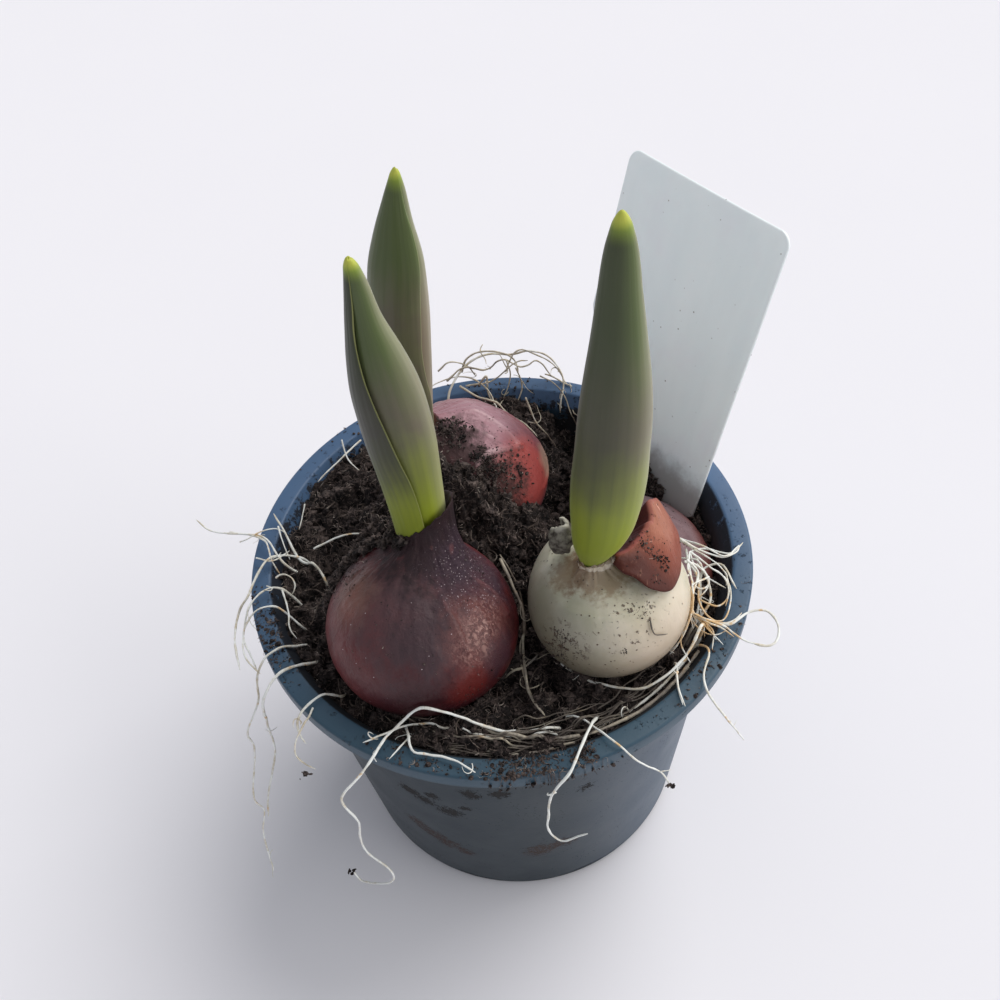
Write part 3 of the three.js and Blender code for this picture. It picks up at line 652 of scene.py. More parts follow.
@dataclass(frozen=True)
class PotPlastic:
    """Slate blue plastic, clean and bluer on the rim, with earth smears and splashes on the wall. Painted
    shade darkens the rim's front, painted light brightens the wall's right side, and painted shade joins the
    earth inside the rim.
    """

    rim: Colour = tone(73, 99, 131)
    # Rim colour towards the front: painted shade.
    front: Colour = tone(54, 78, 94)
    wall: Colour = tone(9, 33, 44)
    earth: Colour = tone(78, 54, 42)
    # Colour of the dirt, also used for painted shade on the inner wall.
    dirt_and_shade: Colour = tone(24, 19, 18)
    # Middles and radii of the smears and of the dark splashes on the wall.
    smears: tuple = (
        ((-29.5, -40, 34), 3.0), ((-26, -42, 30.5), 3.4), ((-22, -44, 27), 3.2), ((-18, -45.5, 24), 2.4),
        ((2, -49, 28.5), 4.0), ((8, -48.5, 31), 3.0),
    )
    splashes: tuple = (
        ((-27.7, -43.3, 60.8), 1.7), ((-24.5, -45, 57.9), 1.5), ((-18.9, -47.3, 54.9), 1.9),
        ((-12.9, -50.6, 70), 1.6), ((-6.1, -52, 71.1), 1.5), ((-22, -46, 63), 1.3), ((-15, -49, 60), 1.0),
        ((14, -51, 66), 1.2),
    )

    def material(self) -> bpy.types.Material:
        """Build the material."""
        f = FinishTree("pot_plastic")
        cloud = f.noise(14, 4, 0.6)
        ragged = f.noise(2.2, 5, 0.7, 3.1, (1, 1, 1), 0.6) - 0.5
        # The rim runs from its painted shade colour at the front to its blue at the back.
        rim = f.mix((f.y + 10.0 * cloud).step(-46.0, 18.0), self.front, self.rim)
        # The wall turns paler towards +X: painted light from the right.
        wall = f.mix((f.x + 12.0 * cloud).step(8.0, 52.0), self.wall, tone(58, 78, 98))
        colour = f.mix(f.z.step(89.5, 92.0), wall, rim)
        colour = f.shade((cloud - 0.35) * 0.5, colour, tone(205, 210, 214))
        smear = 0.0
        for middle, radius in self.smears:
            smear = f.patch(middle, radius, 0.9, ragged * 2.6) + smear
        fine = f.noise(0.9, 5, 0.75, 11.0)
        smear = smear.clamp() * fine.step(0.36, 0.60)
        colour = f.mix(smear * 0.75, colour, self.earth)
        splash = 0.0
        for middle, radius in self.splashes:
            splash = f.patch(middle, radius * 1.3, 0.5, ragged * 2.2 + (fine - 0.5) * 5.0) + splash
        low = (f.z + 6.0 * f.noise(7, 3, 0.6, 5.0)).step(6.5, 3)
        radius = f.vector("LENGTH", {0: f.vector("MULTIPLY", {0: f.place, 1: (1.0, 1.0, 0.0)})}, "Value")
        # Dark earth on the inner wall, more towards the front and lower down: partly earth, partly painted
        # shade.
        clinging_earth_and_shade = f.noise(3.5, 5, 0.7, 6.0) + f.y.step(36.0, -20.0) * 0.24 + f.z.step(94.5, 90.0) * 0.12
        # Inside is where the radius is less than the middle of the tapered wall, or within the flared rim.
        taper = 0.0859
        within = (radius - f.z * taper).step(45.8, 45.5) + radius.step(55.6, 55.0) * f.z.step(90.6, 91.4)
        inside = within.clamp() * clinging_earth_and_shade.step(0.55, 0.62) * f.z.step(80.5, 82.5)
        dust = f.dots(0.9, 7.0, 0.12, 0.24) * f.noise(6, 3, 0.6, 1.0).step(0.52, 0.68)
        crust = f.noise(1.6, 5, 0.72, 9.0).step(0.60, 0.66) * f.noise(9, 2, 0.5, 2.0).step(0.45, 0.65)
        crust = crust * f.z.step(86, 93)
        dirty = (low + splash + inside + dust * 0.8 + crust * 0.9).clamp()
        colour = f.mix(dirty * 0.88, colour, self.dirt_and_shade)
        scratch = f.noise(1.2, 3, 0.6, 9.0, (1, 1, 0.12))
        rough = 0.30 + 0.2 * cloud + 0.35 * (dirty + smear).clamp()
        relief = f.bump(f.noise(0.7, 2, 0.5, 2.0), 0.02, f.bump(scratch, 0.02))
        relief = f.bump((dirty + smear * 0.5).clamp(), 0.2, relief)
        return f.close(colour, Roughness=rough, Normal=relief, Specular_IOR_Level=0.3)


@dataclass(frozen=True)
class PeatEarth:
    """Damp fibrous peat: near black in the hollows of its relief as painted shade, brown on its lumps, with
    tan and grey flecks.
    """

    # Near black of the hollows: painted shade.
    deep: Colour = tone(10, 9, 10)
    middle: Colour = tone(46, 39, 38)
    light: Colour = tone(108, 95, 90)
    fleck: Colour = tone(156, 144, 136)

    def material(self, name: str = "peat", lift: float = 0.0) -> bpy.types.Material:
        """Build the material.

        Args:
            name: The material's name.
            lift: How much lighter it is than the ground.

        Returns:
            The material.
        """
        f = FinishTree(name)
        lumps = f.noise(3.2, 5, 0.65)
        fine = f.noise(0.55, 3, 0.6, 4.0)
        # The colour follows the same lumps as the relief: the near black of the hollows is painted shade.
        share = lumps * 0.8 + fine * 0.45 + lift - 0.14
        colour = f.ramp(share, (0.36, self.deep), (0.50, self.middle), (0.70, self.light), (0.9, self.fleck))
        relief = f.bump(fine, 0.45, f.bump(lumps, 1.1))
        return f.close(colour, Roughness=0.72 + 0.2 * fine, Normal=relief, Specular_IOR_Level=0.25)


@dataclass(frozen=True)
class PeatFibre:
    """Dry peat fibres, each in one of several browns."""

    dark: Colour = tone(46, 38, 37)
    brown: Colour = tone(112, 98, 92)
    pale: Colour = tone(196, 184, 174)
    name: str = "peat_fibre"

    def material(self) -> bpy.types.Material:
        """Build the material."""
        f = FinishTree(self.name)
        colour = f.ramp(f.noise(2.3, 2, 0.5), (0.3, self.dark), (0.55, self.brown), (0.74, self.pale))
        fine = f.noise(0.3, 2, 0.5)
        relief = f.bump(fine, 0.06)
        return f.close(colour, Roughness=0.65 + 0.25 * fine, Normal=relief, Specular_IOR_Level=0.3)


@dataclass(frozen=True)
class MaroonTunic:
    """Glossy maroon-brown tunic with a grey bloom in its middle, a dark neck and a coppery side with a
    painted sheen, painted glints, painted shade in its wrinkles and painted highlights on its crease ridges.
    """

    base: Colour = tone(92, 36, 38)
    bloom: Colour = tone(80, 60, 64)
    dark: Colour = tone(34, 22, 27)
    # Coppery colour of the right side: partly the tunic's own, partly a painted sheen.
    copper_sheen: Colour = tone(124, 74, 70)
    ember: Colour = tone(116, 38, 32)

    def material(self) -> bpy.types.Material:
        """Build the material."""
        f = FinishTree("tunic_maroon")
        cloud = f.noise(9, 5, 0.6)
        veins = f.noise(2.4, 4, 0.6, 2.0, (1, 1, 0.35), 0.3)
        smudge = f.noise(4.5, 5, 0.65, 6.0, (1, 1, 0.6))
        colour = f.mix(cloud.step(0.35, 0.65), self.base, tone(48, 16, 21))
        colour, masks = f.stains(colour, {
            "left": ((-35.0, -33.0, 104.0), 13.0, 1.0, cloud, 0.8, 0.4, tone(126, 62, 62)),
            "low": ((-19.0, -44.0, 98.0), 14.0, 1.0, cloud, 0.9, 0.75, tone(54, 20, 27)),
            "bloom": ((-20.0, -33.5, 117.5), 12.0, 0.9, smudge, 1.8, 0.7, self.bloom),
            "murk": ((-16.5, -36.0, 115.0), 8.0, 1.0, smudge, 2.4, 0.6, tone(58, 46, 52)),
            "tan": ((-31.5, -25.0, 115.5), 5.5, 1.2, smudge, 1.6, 0.45, tone(150, 110, 96)),
            "neck": ((-13.5, -17.0, 126.0), 13.0, 0.7, veins, 1.6, 0.88, self.dark),
            "dusk": ((-6.0, -22.0, 117.0), 9.5, 0.9, smudge, 1.4, 0.7, tone(64, 44, 58)),
            # Coppery patch on the lit right side: partly a painted sheen.
            "copper_sheen": ((-6.0, -34.5, 110.5), 8.0, 1.0, veins, 1.4, 0.65, self.copper_sheen),
            "ember": ((-9.5, -41.5, 103.0), 5.0, 1.0, cloud, 1.2, 0.6, self.ember),
            "shade": ((-1.5, -36.5, 105.0), 5.0, 1.0, smudge, 1.6, 0.6, tone(72, 50, 60)),
        })
        bloom, neck, dusk, copper_sheen = (masks[name] for name in ("bloom", "neck", "dusk", "copper_sheen"))
        flecks = f.dots(1.25, 4.0, 0.06, 0.12) * f.noise(4, 2, 0.5, 6.0).step(0.44, 0.56)
        colour = f.mix(flecks * 0.85, colour, tone(30, 20, 22))
        # Pale dots by the neck's right side are painted glints; the sparse pale dots elsewhere are specks.
        painted_sparkle = f.patch((-6.5, -23.5, 118.0), 8.5, 1.0, (smudge - 0.5) * 2.0)
        painted_sparkle = painted_sparkle * f.dots(0.62, 9.0, 0.12, 0.22)
        dots = f.dots(2.6, 11.0, 0.03, 0.06) * 0.9
        colour = f.mix((painted_sparkle * 0.7 + dots).clamp(), colour, tone(206, 190, 194))
        ridges = f.noise(0.9, 5, 0.7, 8.0, (1, 1, 0.7), 0.8)
        wrinkled = (copper_sheen + dusk + neck * 0.6).clamp()
        # Pale flecks on the wrinkle ridges in two spots: painted glints.
        painted_glint = f.patch((-7.0, -36.5, 110.8), 4.5, 1.2, (cloud - 0.5) * 1.2)
        painted_glint = painted_glint + f.patch((-3.6, -31.9, 112.4), 3.5, 1.2)
        colour = f.mix(ridges.step(0.48, 0.62) * painted_glint * 0.38, colour, tone(214, 168, 156))
        # Wrinkle hollows darkened where the relief is low: painted shade.
        colour = f.mix(ridges.step(0.46, 0.34) * wrinkled * 0.45, colour, tone(48, 26, 30))
        # Crease ridges lighter: painted highlight.
        colour = f.mix(f.crease().step(0.25, 0.6) * 0.35, colour, tone(138, 84, 84))
        relief = f.bump(veins, 0.55, f.bump(f.noise(0.8, 3, 0.6, 8.0), 0.08))
        relief = f.bump(ridges * wrinkled, 0.55, relief)
        rough = 0.30 + 0.2 * cloud + 0.22 * bloom + 0.16 * neck - 0.06 * copper_sheen
        return f.close(
            colour, Roughness=rough, Normal=relief, Specular_IOR_Level=0.34, Coat_Weight=0.3 * copper_sheen,
        )


@dataclass(frozen=True)
class CreamScale:
    """Smooth cream-white scale, greenish grey on its left and darker low down as painted shade, warmer below,
    with brown and black specks.
    """

    base: Colour = tone(212, 207, 188)
    warm: Colour = tone(208, 184, 162)
    stain: Colour = tone(70, 48, 34)

    def material(self) -> bpy.types.Material:
        """Build the material."""
        f = FinishTree("scale_cream")
        cloud = f.noise(8, 4, 0.55)
        lines = f.noise(2.2, 3, 0.6, 3.0, (1, 1, 0.3))
        colour = f.mix(cloud.step(0.35, 0.7), self.base, tone(184, 183, 158))
        spread = 13, 1.2
        colour = f.mix(f.patch((29, -32, 100), *spread) * 0.8, colour, self.warm)
        # Greenish grey on the left side: painted shade.
        colour = f.mix(f.patch((6.5, -31, 104), *spread) * 0.75, colour, tone(128, 126, 110))
        # Darker below the middle: painted shade.
        colour = f.mix((f.z + 5.0 * cloud).step(110, 98) * 0.5, colour, tone(148, 136, 116))
        # Brownish grey on the lower left: painted shade.
        colour = f.mix(f.patch((12, -38, 97), *spread) * 0.6, colour, tone(108, 96, 78))
        low = (f.z + 7.0 * f.noise(4, 3, 0.6, 5.0)).step(100.5, 93.5)
        colour = f.mix(low * 0.65, colour, tone(122, 92, 66))
        rim_noise = f.noise(1.6, 4, 0.65, 1.0)
        colour, _ = f.stains(colour, {
            "crater": ((20.5, -26.5, 119.5), 7.0, 0.6, rim_noise, 1.6, 0.7, tone(134, 104, 72)),
            "stain": ((13.5, -25.5, 117.5), 4.5, 0.8, rim_noise, 1.8, 0.7, tone(112, 84, 58)),
        })
        spots = f.noise(1.5, 4, 0.7, 6.0).step(0.55, 0.62) * f.patch((11, -36.5, 105), 6.0, 0.9, cloud - 0.5)
        more = f.noise(1.3, 4, 0.7, 8.0).step(0.60, 0.66) * f.patch((26, -37, 112), 7.0, 0.9, cloud - 0.5)
        spots = spots + more
        specks = f.dots(1.5, 2.0, 0.08, 0.17) * f.noise(5, 2, 0.5, 9.0).step(0.40, 0.56)
        dirty = (spots + specks).clamp()
        torn = f.crease().step(0.15, 0.5) * rim_noise.step(0.25, 0.5)
        colour = f.mix(torn * 0.8, colour, tone(226, 214, 194))
        colour = f.mix(dirty * 0.85, colour, self.stain)
        relief = f.bump(lines, 0.14, f.bump(dirty, 0.12, f.bump(f.noise(0.6, 2, 0.5), 0.02)))
        rough = 0.33 + 0.14 * cloud + 0.3 * dirty
        return f.close(
            colour, Roughness=rough, Normal=relief, Subsurface_Weight=0.12,
            Subsurface_Radius=(1.0, 0.7, 0.45), Subsurface_Scale=0.003, Coat_Weight=0.15,
        )


@dataclass(frozen=True)
class PinkTunic:
    """Dusty pink tunic with earth smeared on its lower left, a crease painted paler as a highlight and as a
    dry edge, and an orange-red right side.
    """

    base: Colour = tone(142, 84, 88)
    dusty: Colour = tone(168, 128, 138)
    red: Colour = tone(166, 72, 66)
    earth: Colour = tone(50, 38, 36)

    def material(self) -> bpy.types.Material:
        """Build the material."""
        f = FinishTree("tunic_pink")
        cloud = f.noise(8, 5, 0.62)
        smudge = f.noise(3.4, 5, 0.65, 3.0)
        colour = f.mix(cloud.step(0.3, 0.7), self.base, tone(122, 70, 78))
        colour, _ = f.stains(colour, {
            "top": ((-2.0, 27.0, 112.0), 10.5, 1.0, cloud, 0.9, 0.75, self.dusty),
            "red": ((9.0, 19.0, 99.0), 10.0, 0.7, cloud, 0.8, 0.9, self.red),
            "dry": ((15.5, 27.0, 94.0), 4.5, 0.9, smudge, 0.8, 0.6, tone(188, 164, 142)),
        })
        earth = f.patch((-8.0, 20.0, 111.0), 7.5, 0.8, (smudge - 0.5) * 2.6)
        earth = (earth + f.patch((2.0, 13.0, 101.0), 8.0, 0.8, (smudge - 0.5) * 2.6)).clamp()
        colour = f.mix(earth * 0.85, colour, self.earth)
        specks = f.dots(1.2, 2.0, 0.08, 0.18) * smudge.step(0.45, 0.6)
        colour = f.mix(specks * 0.8, colour, self.earth)
        lines = f.noise(2.0, 4, 0.6, 5.0, (1.0, 1.0, 0.3))
        # Paler crease ridges: a painted highlight along the crease, and the pale dry edge of the peeled
        # tunic.
        colour = f.mix(f.crease().step(0.15, 0.5) * 0.6, colour, tone(206, 172, 176))
        relief = f.bump(lines, 0.4, f.bump((earth * smudge + specks).clamp(), 0.35))
        rough = 0.28 + 0.2 * cloud + 0.4 * earth
        return f.close(colour, Roughness=rough, Normal=relief, Specular_IOR_Level=0.45)


@dataclass(frozen=True)
class MauveTunic:
    """Matt mauve-brown tunic with dark dots and a dry pale tear."""

    base: Colour = tone(146, 122, 126)
    dark: Colour = tone(66, 48, 50)
    brown: Colour = tone(178, 92, 78)

    def material(self) -> bpy.types.Material:
        """Build the material."""
        f = FinishTree("tunic_mauve")
        cloud = f.noise(7, 5, 0.6)
        lines = f.noise(1.8, 4, 0.6, 5.0, (1.0, 1.0, 0.4))
        colour = f.mix(cloud.step(0.3, 0.7), self.base, tone(122, 96, 100))
        colour = f.mix((f.z + 4.0 * cloud).step(93, 86) * 0.8, colour, self.brown)
        dots = f.dots(1.3, 2.0, 0.08, 0.17) * f.noise(4, 2, 0.5, 7.0).step(0.4, 0.58)
        colour = f.mix(dots * 0.8, colour, self.dark)
        colour = f.mix(lines.step(0.6, 0.72) * 0.3, colour, tone(196, 176, 170))
        relief = f.bump(lines, 0.3, f.bump(f.noise(0.7, 3, 0.6), 0.06))
        return f.close(colour, Roughness=0.5 + 0.2 * cloud, Normal=relief, Specular_IOR_Level=0.4)


@dataclass(frozen=True)
class TerracottaTunic:
    """Dry papery tunic, terracotta outside, darker inside, with pale veins and dark crumbs. Painted shade
    darkens its lower left and its lining, and a painted highlight lies along its folds.
    """

    outer: Colour = tone(138, 72, 54)
    # Colour of the painted shade on the lower left.
    deep: Colour = tone(68, 26, 19)
    pale: Colour = tone(196, 142, 118)
    pink: Colour = tone(150, 82, 80)
    # Near-black lining inside the curl: painted shade.
    lining: Colour = tone(58, 10, 9)

    def material(self) -> bpy.types.Material:
        """Build the material."""
        f = FinishTree("tunic_terracotta")
        cloud = f.noise(5, 4, 0.6)
        # The flap's own places across and up, in tens of millimetres, so that the fibres run with it.
        own = f.vector("SCALE", {0: f.surface, "Scale": 12.0})
        fibres = f.noise(3.0, 4, 0.6, 2.0, (9.0, 1.2, 1.0), 0.0, own)
        colour = f.mix(cloud.step(0.3, 0.7), self.outer, tone(126, 64, 46))
        # Darker towards the lower left of the flap: painted shade.
        shade = (f.v + f.u * 0.9 + (cloud - 0.5) * 0.25).step(0.95, 0.45)
        colour = f.mix(shade * 0.95, colour, self.deep)
        colour = f.mix(fibres.step(0.60, 0.75) * 0.35, colour, self.pale)
        # Pale patch round the right fold and paler crease ridges: painted highlight along the folds.
        colour, _ = f.stains(colour, {"fold": ((34.6, -17.5, 121.0), 5.5, 1.0, cloud, 0.6, 0.35, self.pale)})
        colour = f.mix(f.crease().step(0.12, 0.4) * 0.7, colour, tone(226, 168, 150))
        colour = f.mix(f.v.step(0.66, 0.70) * 0.5, colour, self.pink)
        # The lining is painted near black: painted shade inside the curl.
        colour = f.mix(f.v.step(0.71, 0.75), colour, self.lining)
        crumbs = f.noise(1.3, 4, 0.7, 6.0).step(0.63, 0.69)
        colour = f.mix(crumbs * 0.85, colour, tone(48, 30, 26))
        relief = f.bump(fibres, 0.12, f.bump(crumbs, 0.2, f.bump(cloud, 0.3)))
        return f.close(colour, Roughness=0.42 + 0.25 * cloud, Normal=relief, Specular_IOR_Level=0.25)


@dataclass(frozen=True)
class HuskScrap:
    """Grey dried scrap, paler along its curled edges."""

    base: Colour = tone(128, 124, 112)
    pale: Colour = tone(206, 202, 188)

    def material(self) -> bpy.types.Material:
        """Build the material."""
        f = FinishTree("husk_grey")
        cloud = f.noise(1.6, 5, 0.65)
        colour = f.mix(cloud.step(0.35, 0.7), self.base, tone(52, 44, 40))
        edge = (f.v.step(0.86, 0.98) + f.u.step(0.1, 0.0) + f.u.step(0.9, 1.0)).clamp()
        colour = f.mix(edge * 0.75, colour, self.pale)
        return f.close(colour, Roughness=0.8, Normal=f.bump(cloud, 0.4), Specular_IOR_Level=0.3)


class LeafPart(Enum):
    """The two rolled leaves of a spear."""

    OUTER = "leaf_green"
    INNER = "leaf_inner"


@dataclass(frozen=True)
class LeafSkin:
    """Waxy leaf: lime at the foot, mauve-grey green in the middle, green above and bright at the tip, with
    painted shade on its left side and painted light on its right.
    """

    part: LeafPart
    span: tuple[float, float]
    turn: tuple[float, float]
    blush: float = 0.6
    foot: float = 0.2
    name: str = "leaf"
    lime: Colour = tone(150, 162, 38)
    grey: Colour = tone(116, 114, 86)
    green: Colour = tone(92, 106, 60)
    bright: Colour = tone(150, 172, 58)
    dusk: Colour = tone(110, 96, 88)
    margin: Colour = tone(150, 152, 90)
    shade: float = 0.62

    def material(self) -> bpy.types.Material:
        """Build the material.

        span holds the heights of foot and tip, and turn the angle at u = 0 and the angle from there to u = 1,
        in radians; the side turned to the left gets painted shade, the one turned to the right painted light.
        """
        f = FinishTree(self.name)
        streaks = f.noise(1.0, 3, 0.5, 2.0, place=f.vector("MULTIPLY", {0: f.surface, 1: (26.0, 1.4, 1.0)}))
        cloud = f.noise(10, 3, 0.5)
        low, high = self.span
        rise = (f.z - low) / (high - low)
        start, sweep = self.turn
        side = (f.u * sweep + (start + 2.44)).sine()
        up = rise + (streaks - 0.5) * 0.10 + (cloud - 0.5) * 0.12
        colour = f.mix(up.step(self.foot * 0.4, self.foot * 1.5), self.lime, self.grey)
        colour = f.mix(up.step(0.48, 0.78), colour, self.green)
        dusk = up.step(self.foot, self.foot + 0.15) * up.step(0.78, 0.5) * cloud.step(0.35, 0.65)
        colour = f.mix(dusk * self.blush, colour, self.dusk)
        # The lime foot keeps less of the painted shade.
        foot_light = up.step(self.foot * 0.5, self.foot * 1.2) * 0.6 + 0.4
        # Painted shade on the side turned to the left.
        colour = f.mix(side.step(0.0, 0.8) * foot_light * self.shade, colour, tone(40, 42, 34))
        # Painted light on the side turned to the right.
        colour = f.mix(side.step(0.3, -0.6) * 0.42, colour, tone(186, 180, 156))
        tip = (rise + (cloud - 0.5) * 0.03).step(0.93, 0.99)
        colour = f.mix(tip * 0.9, colour, self.bright)
        colour = f.mix(rise.step(0.965, 0.99) * 0.6, colour, tone(214, 212, 96))
        if self.part is LeafPart.OUTER:
            margin = (f.u.step(0.022, 0.0) + f.u.step(0.978, 1.0)).clamp() * f.v.step(1.0, 0.8)
            colour = f.mix(margin * 0.6, colour, self.margin)
        colour = f.shade(streaks.step(0.35, 0.8) * 0.25, colour, tone(190, 198, 176))
        colour = f.mix(f.dots(1.6, 4.0, 0.02, 0.05) * 0.5, colour, tone(60, 52, 44))
        pores = f.noise(0.28, 2, 0.5, 5.0)
        relief = f.bump(streaks, 0.03, f.bump(pores, 0.012))
        rough = 0.38 + 0.12 * cloud
        return f.close(
            colour, Roughness=rough, Normal=relief, Subsurface_Weight=0.08,
            Subsurface_Radius=(0.6, 0.8, 0.25), Subsurface_Scale=0.002, Specular_IOR_Level=0.32,
            Sheen_Weight=0.10, Sheen_Roughness=0.4,
        )


@dataclass(frozen=True)
class LabelPlastic:
    """Cool white plastic, with a faint lilac patch, soft upright streaks and earth on its stake."""

    base: Colour = tone(240, 249, 254)
    lilac: Colour = tone(234, 226, 238)
    earth: Colour = tone(92, 76, 66)

    def material(self) -> bpy.types.Material:
        """Build the material."""
        f = FinishTree("label_plastic")
        streaks = f.noise(1.0, 4, 0.6, place=f.vector("MULTIPLY", {0: f.surface, 1: (5.0, 2.6, 1.0)}))
        cloud = f.noise(16, 3, 0.5)
        colour = f.mix(streaks.step(0.2, 0.8) * 0.3, self.base, tone(214, 222, 228))
        colour = f.mix(cloud.step(0.45, 0.8) * 0.3, colour, self.lilac)
        low = (f.z + 8.0 * f.noise(4, 4, 0.65, 3.0)).step(103, 95)
        colour = f.mix(low * 0.6, colour, self.earth)
        specks = f.dots(2.4, 3.0, 0.06, 0.12) * f.noise(8, 2, 0.5, 4.0).step(0.5, 0.6)
        colour = f.mix(specks * 0.7, colour, self.earth)
        relief = f.bump(streaks, 0.05, f.bump(f.noise(0.5, 2, 0.5), 0.008))
        rough = 0.3 + 0.2 * cloud + 0.3 * low
        return f.close(
            colour, Roughness=rough, Normal=relief, Subsurface_Weight=0.6,
            Subsurface_Radius=(0.9, 1.0, 1.0), Subsurface_Scale=0.002, Specular_IOR_Level=0.5,
        )


@dataclass(frozen=True)
class RootSkin:
    """Pale bulb roots: white where fresh, tan and grey where dry, brown where dead, with fine knots."""

    fresh: Colour = tone(236, 238, 234)
    tan: Colour = tone(206, 196, 174)
    grey: Colour = tone(132, 124, 116)
    orange: Colour = tone(214, 168, 96)
    dead: Colour = tone(52, 42, 37)
    dead_from: float = 0.9

    def material(self, name: str = "root_pale", age: float = 0.0) -> bpy.types.Material:
        """Build the material.

        Args:
            name: The material's name.
            age: How dry the roots are, from 0 to 1.

        Returns:
            The material.
        """
        f = FinishTree(name)
        cloud = f.noise(5, 4, 0.6)
        fine = f.noise(0.8, 3, 0.6, 2.0)
        share = cloud * 0.8 + fine * 0.3 + age * 0.4 - 0.10
        colour = f.ramp(share, (0.44, self.fresh), (0.64, self.tan), (0.86, self.grey))
        stained = f.noise(3.0, 3, 0.6, 12.0) + f.patch((41.5, -29.0, 99.0), 9.0, 1.0) * 0.22
        colour = f.mix(stained.step(0.60, 0.72) * (0.78 - age * 0.6), colour, self.orange)
        if age > self.dead_from:
            colour = f.mix(0.62, colour, self.dead)
        buried = (92.0 - f.z).step(0.0, 4.0) * f.patch((0, 0, 90), 53, 0.04)
        colour = f.mix(buried * 0.8, colour, tone(70, 52, 44))
        relief = f.bump(fine, 0.1, f.bump(cloud, 0.15))
        return f.close(colour, Roughness=0.5 + 0.2 * fine, Normal=relief, Specular_IOR_Level=0.35)


# The pot and what it holds


@dataclass
class GrowersPot:
    """Round tapered plastic pot with a flat rim band, a short outer skirt and a base with drain holes."""

    height: float = 95.0
    rim_radius: float = 60.0
    rim_inner: float = 55.2
    skirt: float = 4.2
    shoulder: float = 54.1
    base: float = 46.3
    wall: float = 1.2
    floor: float = 1.8
    drain_count: int = 6
    drain_radius: float = 4.0
    drain_ring: float = 30.0
    # Radius of the floor's innermost ring of points.
    inmost: float = 18.0
    sides: int = 240

    @property
    def under(self) -> float:
        """Height of the skirt's lower edge."""
        return self.height - self.skirt

    def outer(self, z: Array) -> Array:
        """Radius of the wall's outside at a height: base + (shoulder - base) z / under."""
        return self.base + (self.shoulder - self.base) * np.minimum(z, self.under) / self.under

    def inner(self, z: Array) -> Array:
        """Radius of the wall's inside at a height: straight to the skirt's lower edge, then wider.

        Args:
            z: Heights.

        Returns:
            Radius at each height.
        """
        z = np.asarray(z, dtype=float)
        floor_radius = self.outer(np.array(self.floor)) - self.wall - 0.6
        share = (z - self.floor) / (self.under - self.floor)
        low = floor_radius + (self.shoulder - self.wall - floor_radius) * share
        flare = np.clip((z - self.under) / self.skirt, 0, 1)
        high = self.shoulder - self.wall + (self.rim_inner - self.shoulder + self.wall) * flare
        return np.where(z > self.under, high, low)

    def _outline(self) -> Array:
        """Half section of the wall and rim, from the floor's underside up, over the rim and down inside.

        Straight runs between the section's corners, each corner rounded by a curve of Bezier's kind
        (1-t)^2 a + 2t(1-t) b + t^2 c between points a and c near it on the two runs.

        Returns:
            Radius and height of each point.
        """
        t = self.wall
        corners = np.array([
            [self.inmost, 0.0], [self.base - 0.9, 0.0], [self.outer(np.array(1.6)), 1.6],
            [self.shoulder, self.under],
            [self.shoulder + t, self.height - t - 0.5], [self.rim_inner + 2.0, self.height - t],
            [self.rim_radius - t, self.height - t], [self.rim_radius - t, self.under],
            [self.rim_radius, self.under], [self.rim_radius, self.height],
            [self.rim_inner + 0.2, self.height - 0.15],
            [self.shoulder - t, self.under], [self.inner(np.array(self.floor + 0.2)), self.floor],
            [self.inmost, self.floor],
        ])
        rounds = [0, 0.8, 0.8, 0.6, 0.4, 0.4, 0.4, 0.35, 0.35, 0.8, 0.5, 2.0, 1.5, 0]
        parts = [corners[:1]]
        for k in range(1, len(corners) - 1):
            here = corners[k]
            before = unit(corners[k - 1] - here) * rounds[k]
            after = unit(corners[k + 1] - here) * rounds[k]
            s = np.linspace(0, 1, 6)[:, None]
            parts.append((1 - s) ** 2 * (here + before) + 2 * s * (1 - s) * here + s**2 * (here + after))
        parts.append(corners[-1:])
        outline = np.concatenate(parts)
        runs = []
        for a, b in zip(outline[:-1], outline[1:]):
            steps = max(1, int(np.hypot(*(b - a)) / 4.0))
            runs.append(a + (b - a) * (np.arange(steps) / steps)[:, None])
        return np.concatenate([*runs, outline[-1:]])

    def build(self) -> bpy.types.Object:
        """Build the pot: the half section turned about +Z, with the drain holes cut out of its floor.

        Returns:
            The pot.
        """
        outline = self._outline()
        angle = circle(self.sides)
        swell = 1 + 0.0009 * np.cos(2 * angle + 0.7)[None, :]
        rings = turned(outline[:, :1] * swell, angle, outline[:, 1:])
        shell = closed_skin(rings, np.array([0, 0, 0.0]), np.array([0, 0, self.floor]))
        piece = make_piece("growers_pot", shell, PotPlastic().material())
        self._drill(piece)
        piece.data.shade_smooth()
        piece.data.set_sharp_from_angle(angle=math.radians(40))
        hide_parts("pot")
        return piece

    def _drill(self, piece: bpy.types.Object) -> None:
        """Cut the drain holes: upright prisms taken from the floor."""
        sides, low, high = 28, -2.0, 5.0
        prism = turned(self.drain_radius, circle(sides)[None, :], np.array([[low], [high]]))
        drills = []
        for turn in circle(self.drain_count) + math.pi / self.drain_count:
            ends = turned(self.drain_ring, turn, np.array([low, high]))
            drills.append(closed_skin(prism + ends[0] * [1, 1, 0], *ends))
        drill = make_piece("drain_drills", Shell.joined(drills), piece.data.materials[0])
        cut = piece.modifiers.new("drains", "BOOLEAN")
        cut.operation = "DIFFERENCE"
        cut.solver = "EXACT"
        cut.object = drill
        graph = bpy.context.evaluated_depsgraph_get()
        mesh = bpy.data.meshes.new_from_object(piece.evaluated_get(graph))
        piece.modifiers.clear()
        piece.data = mesh
        bpy.data.objects.remove(drill)


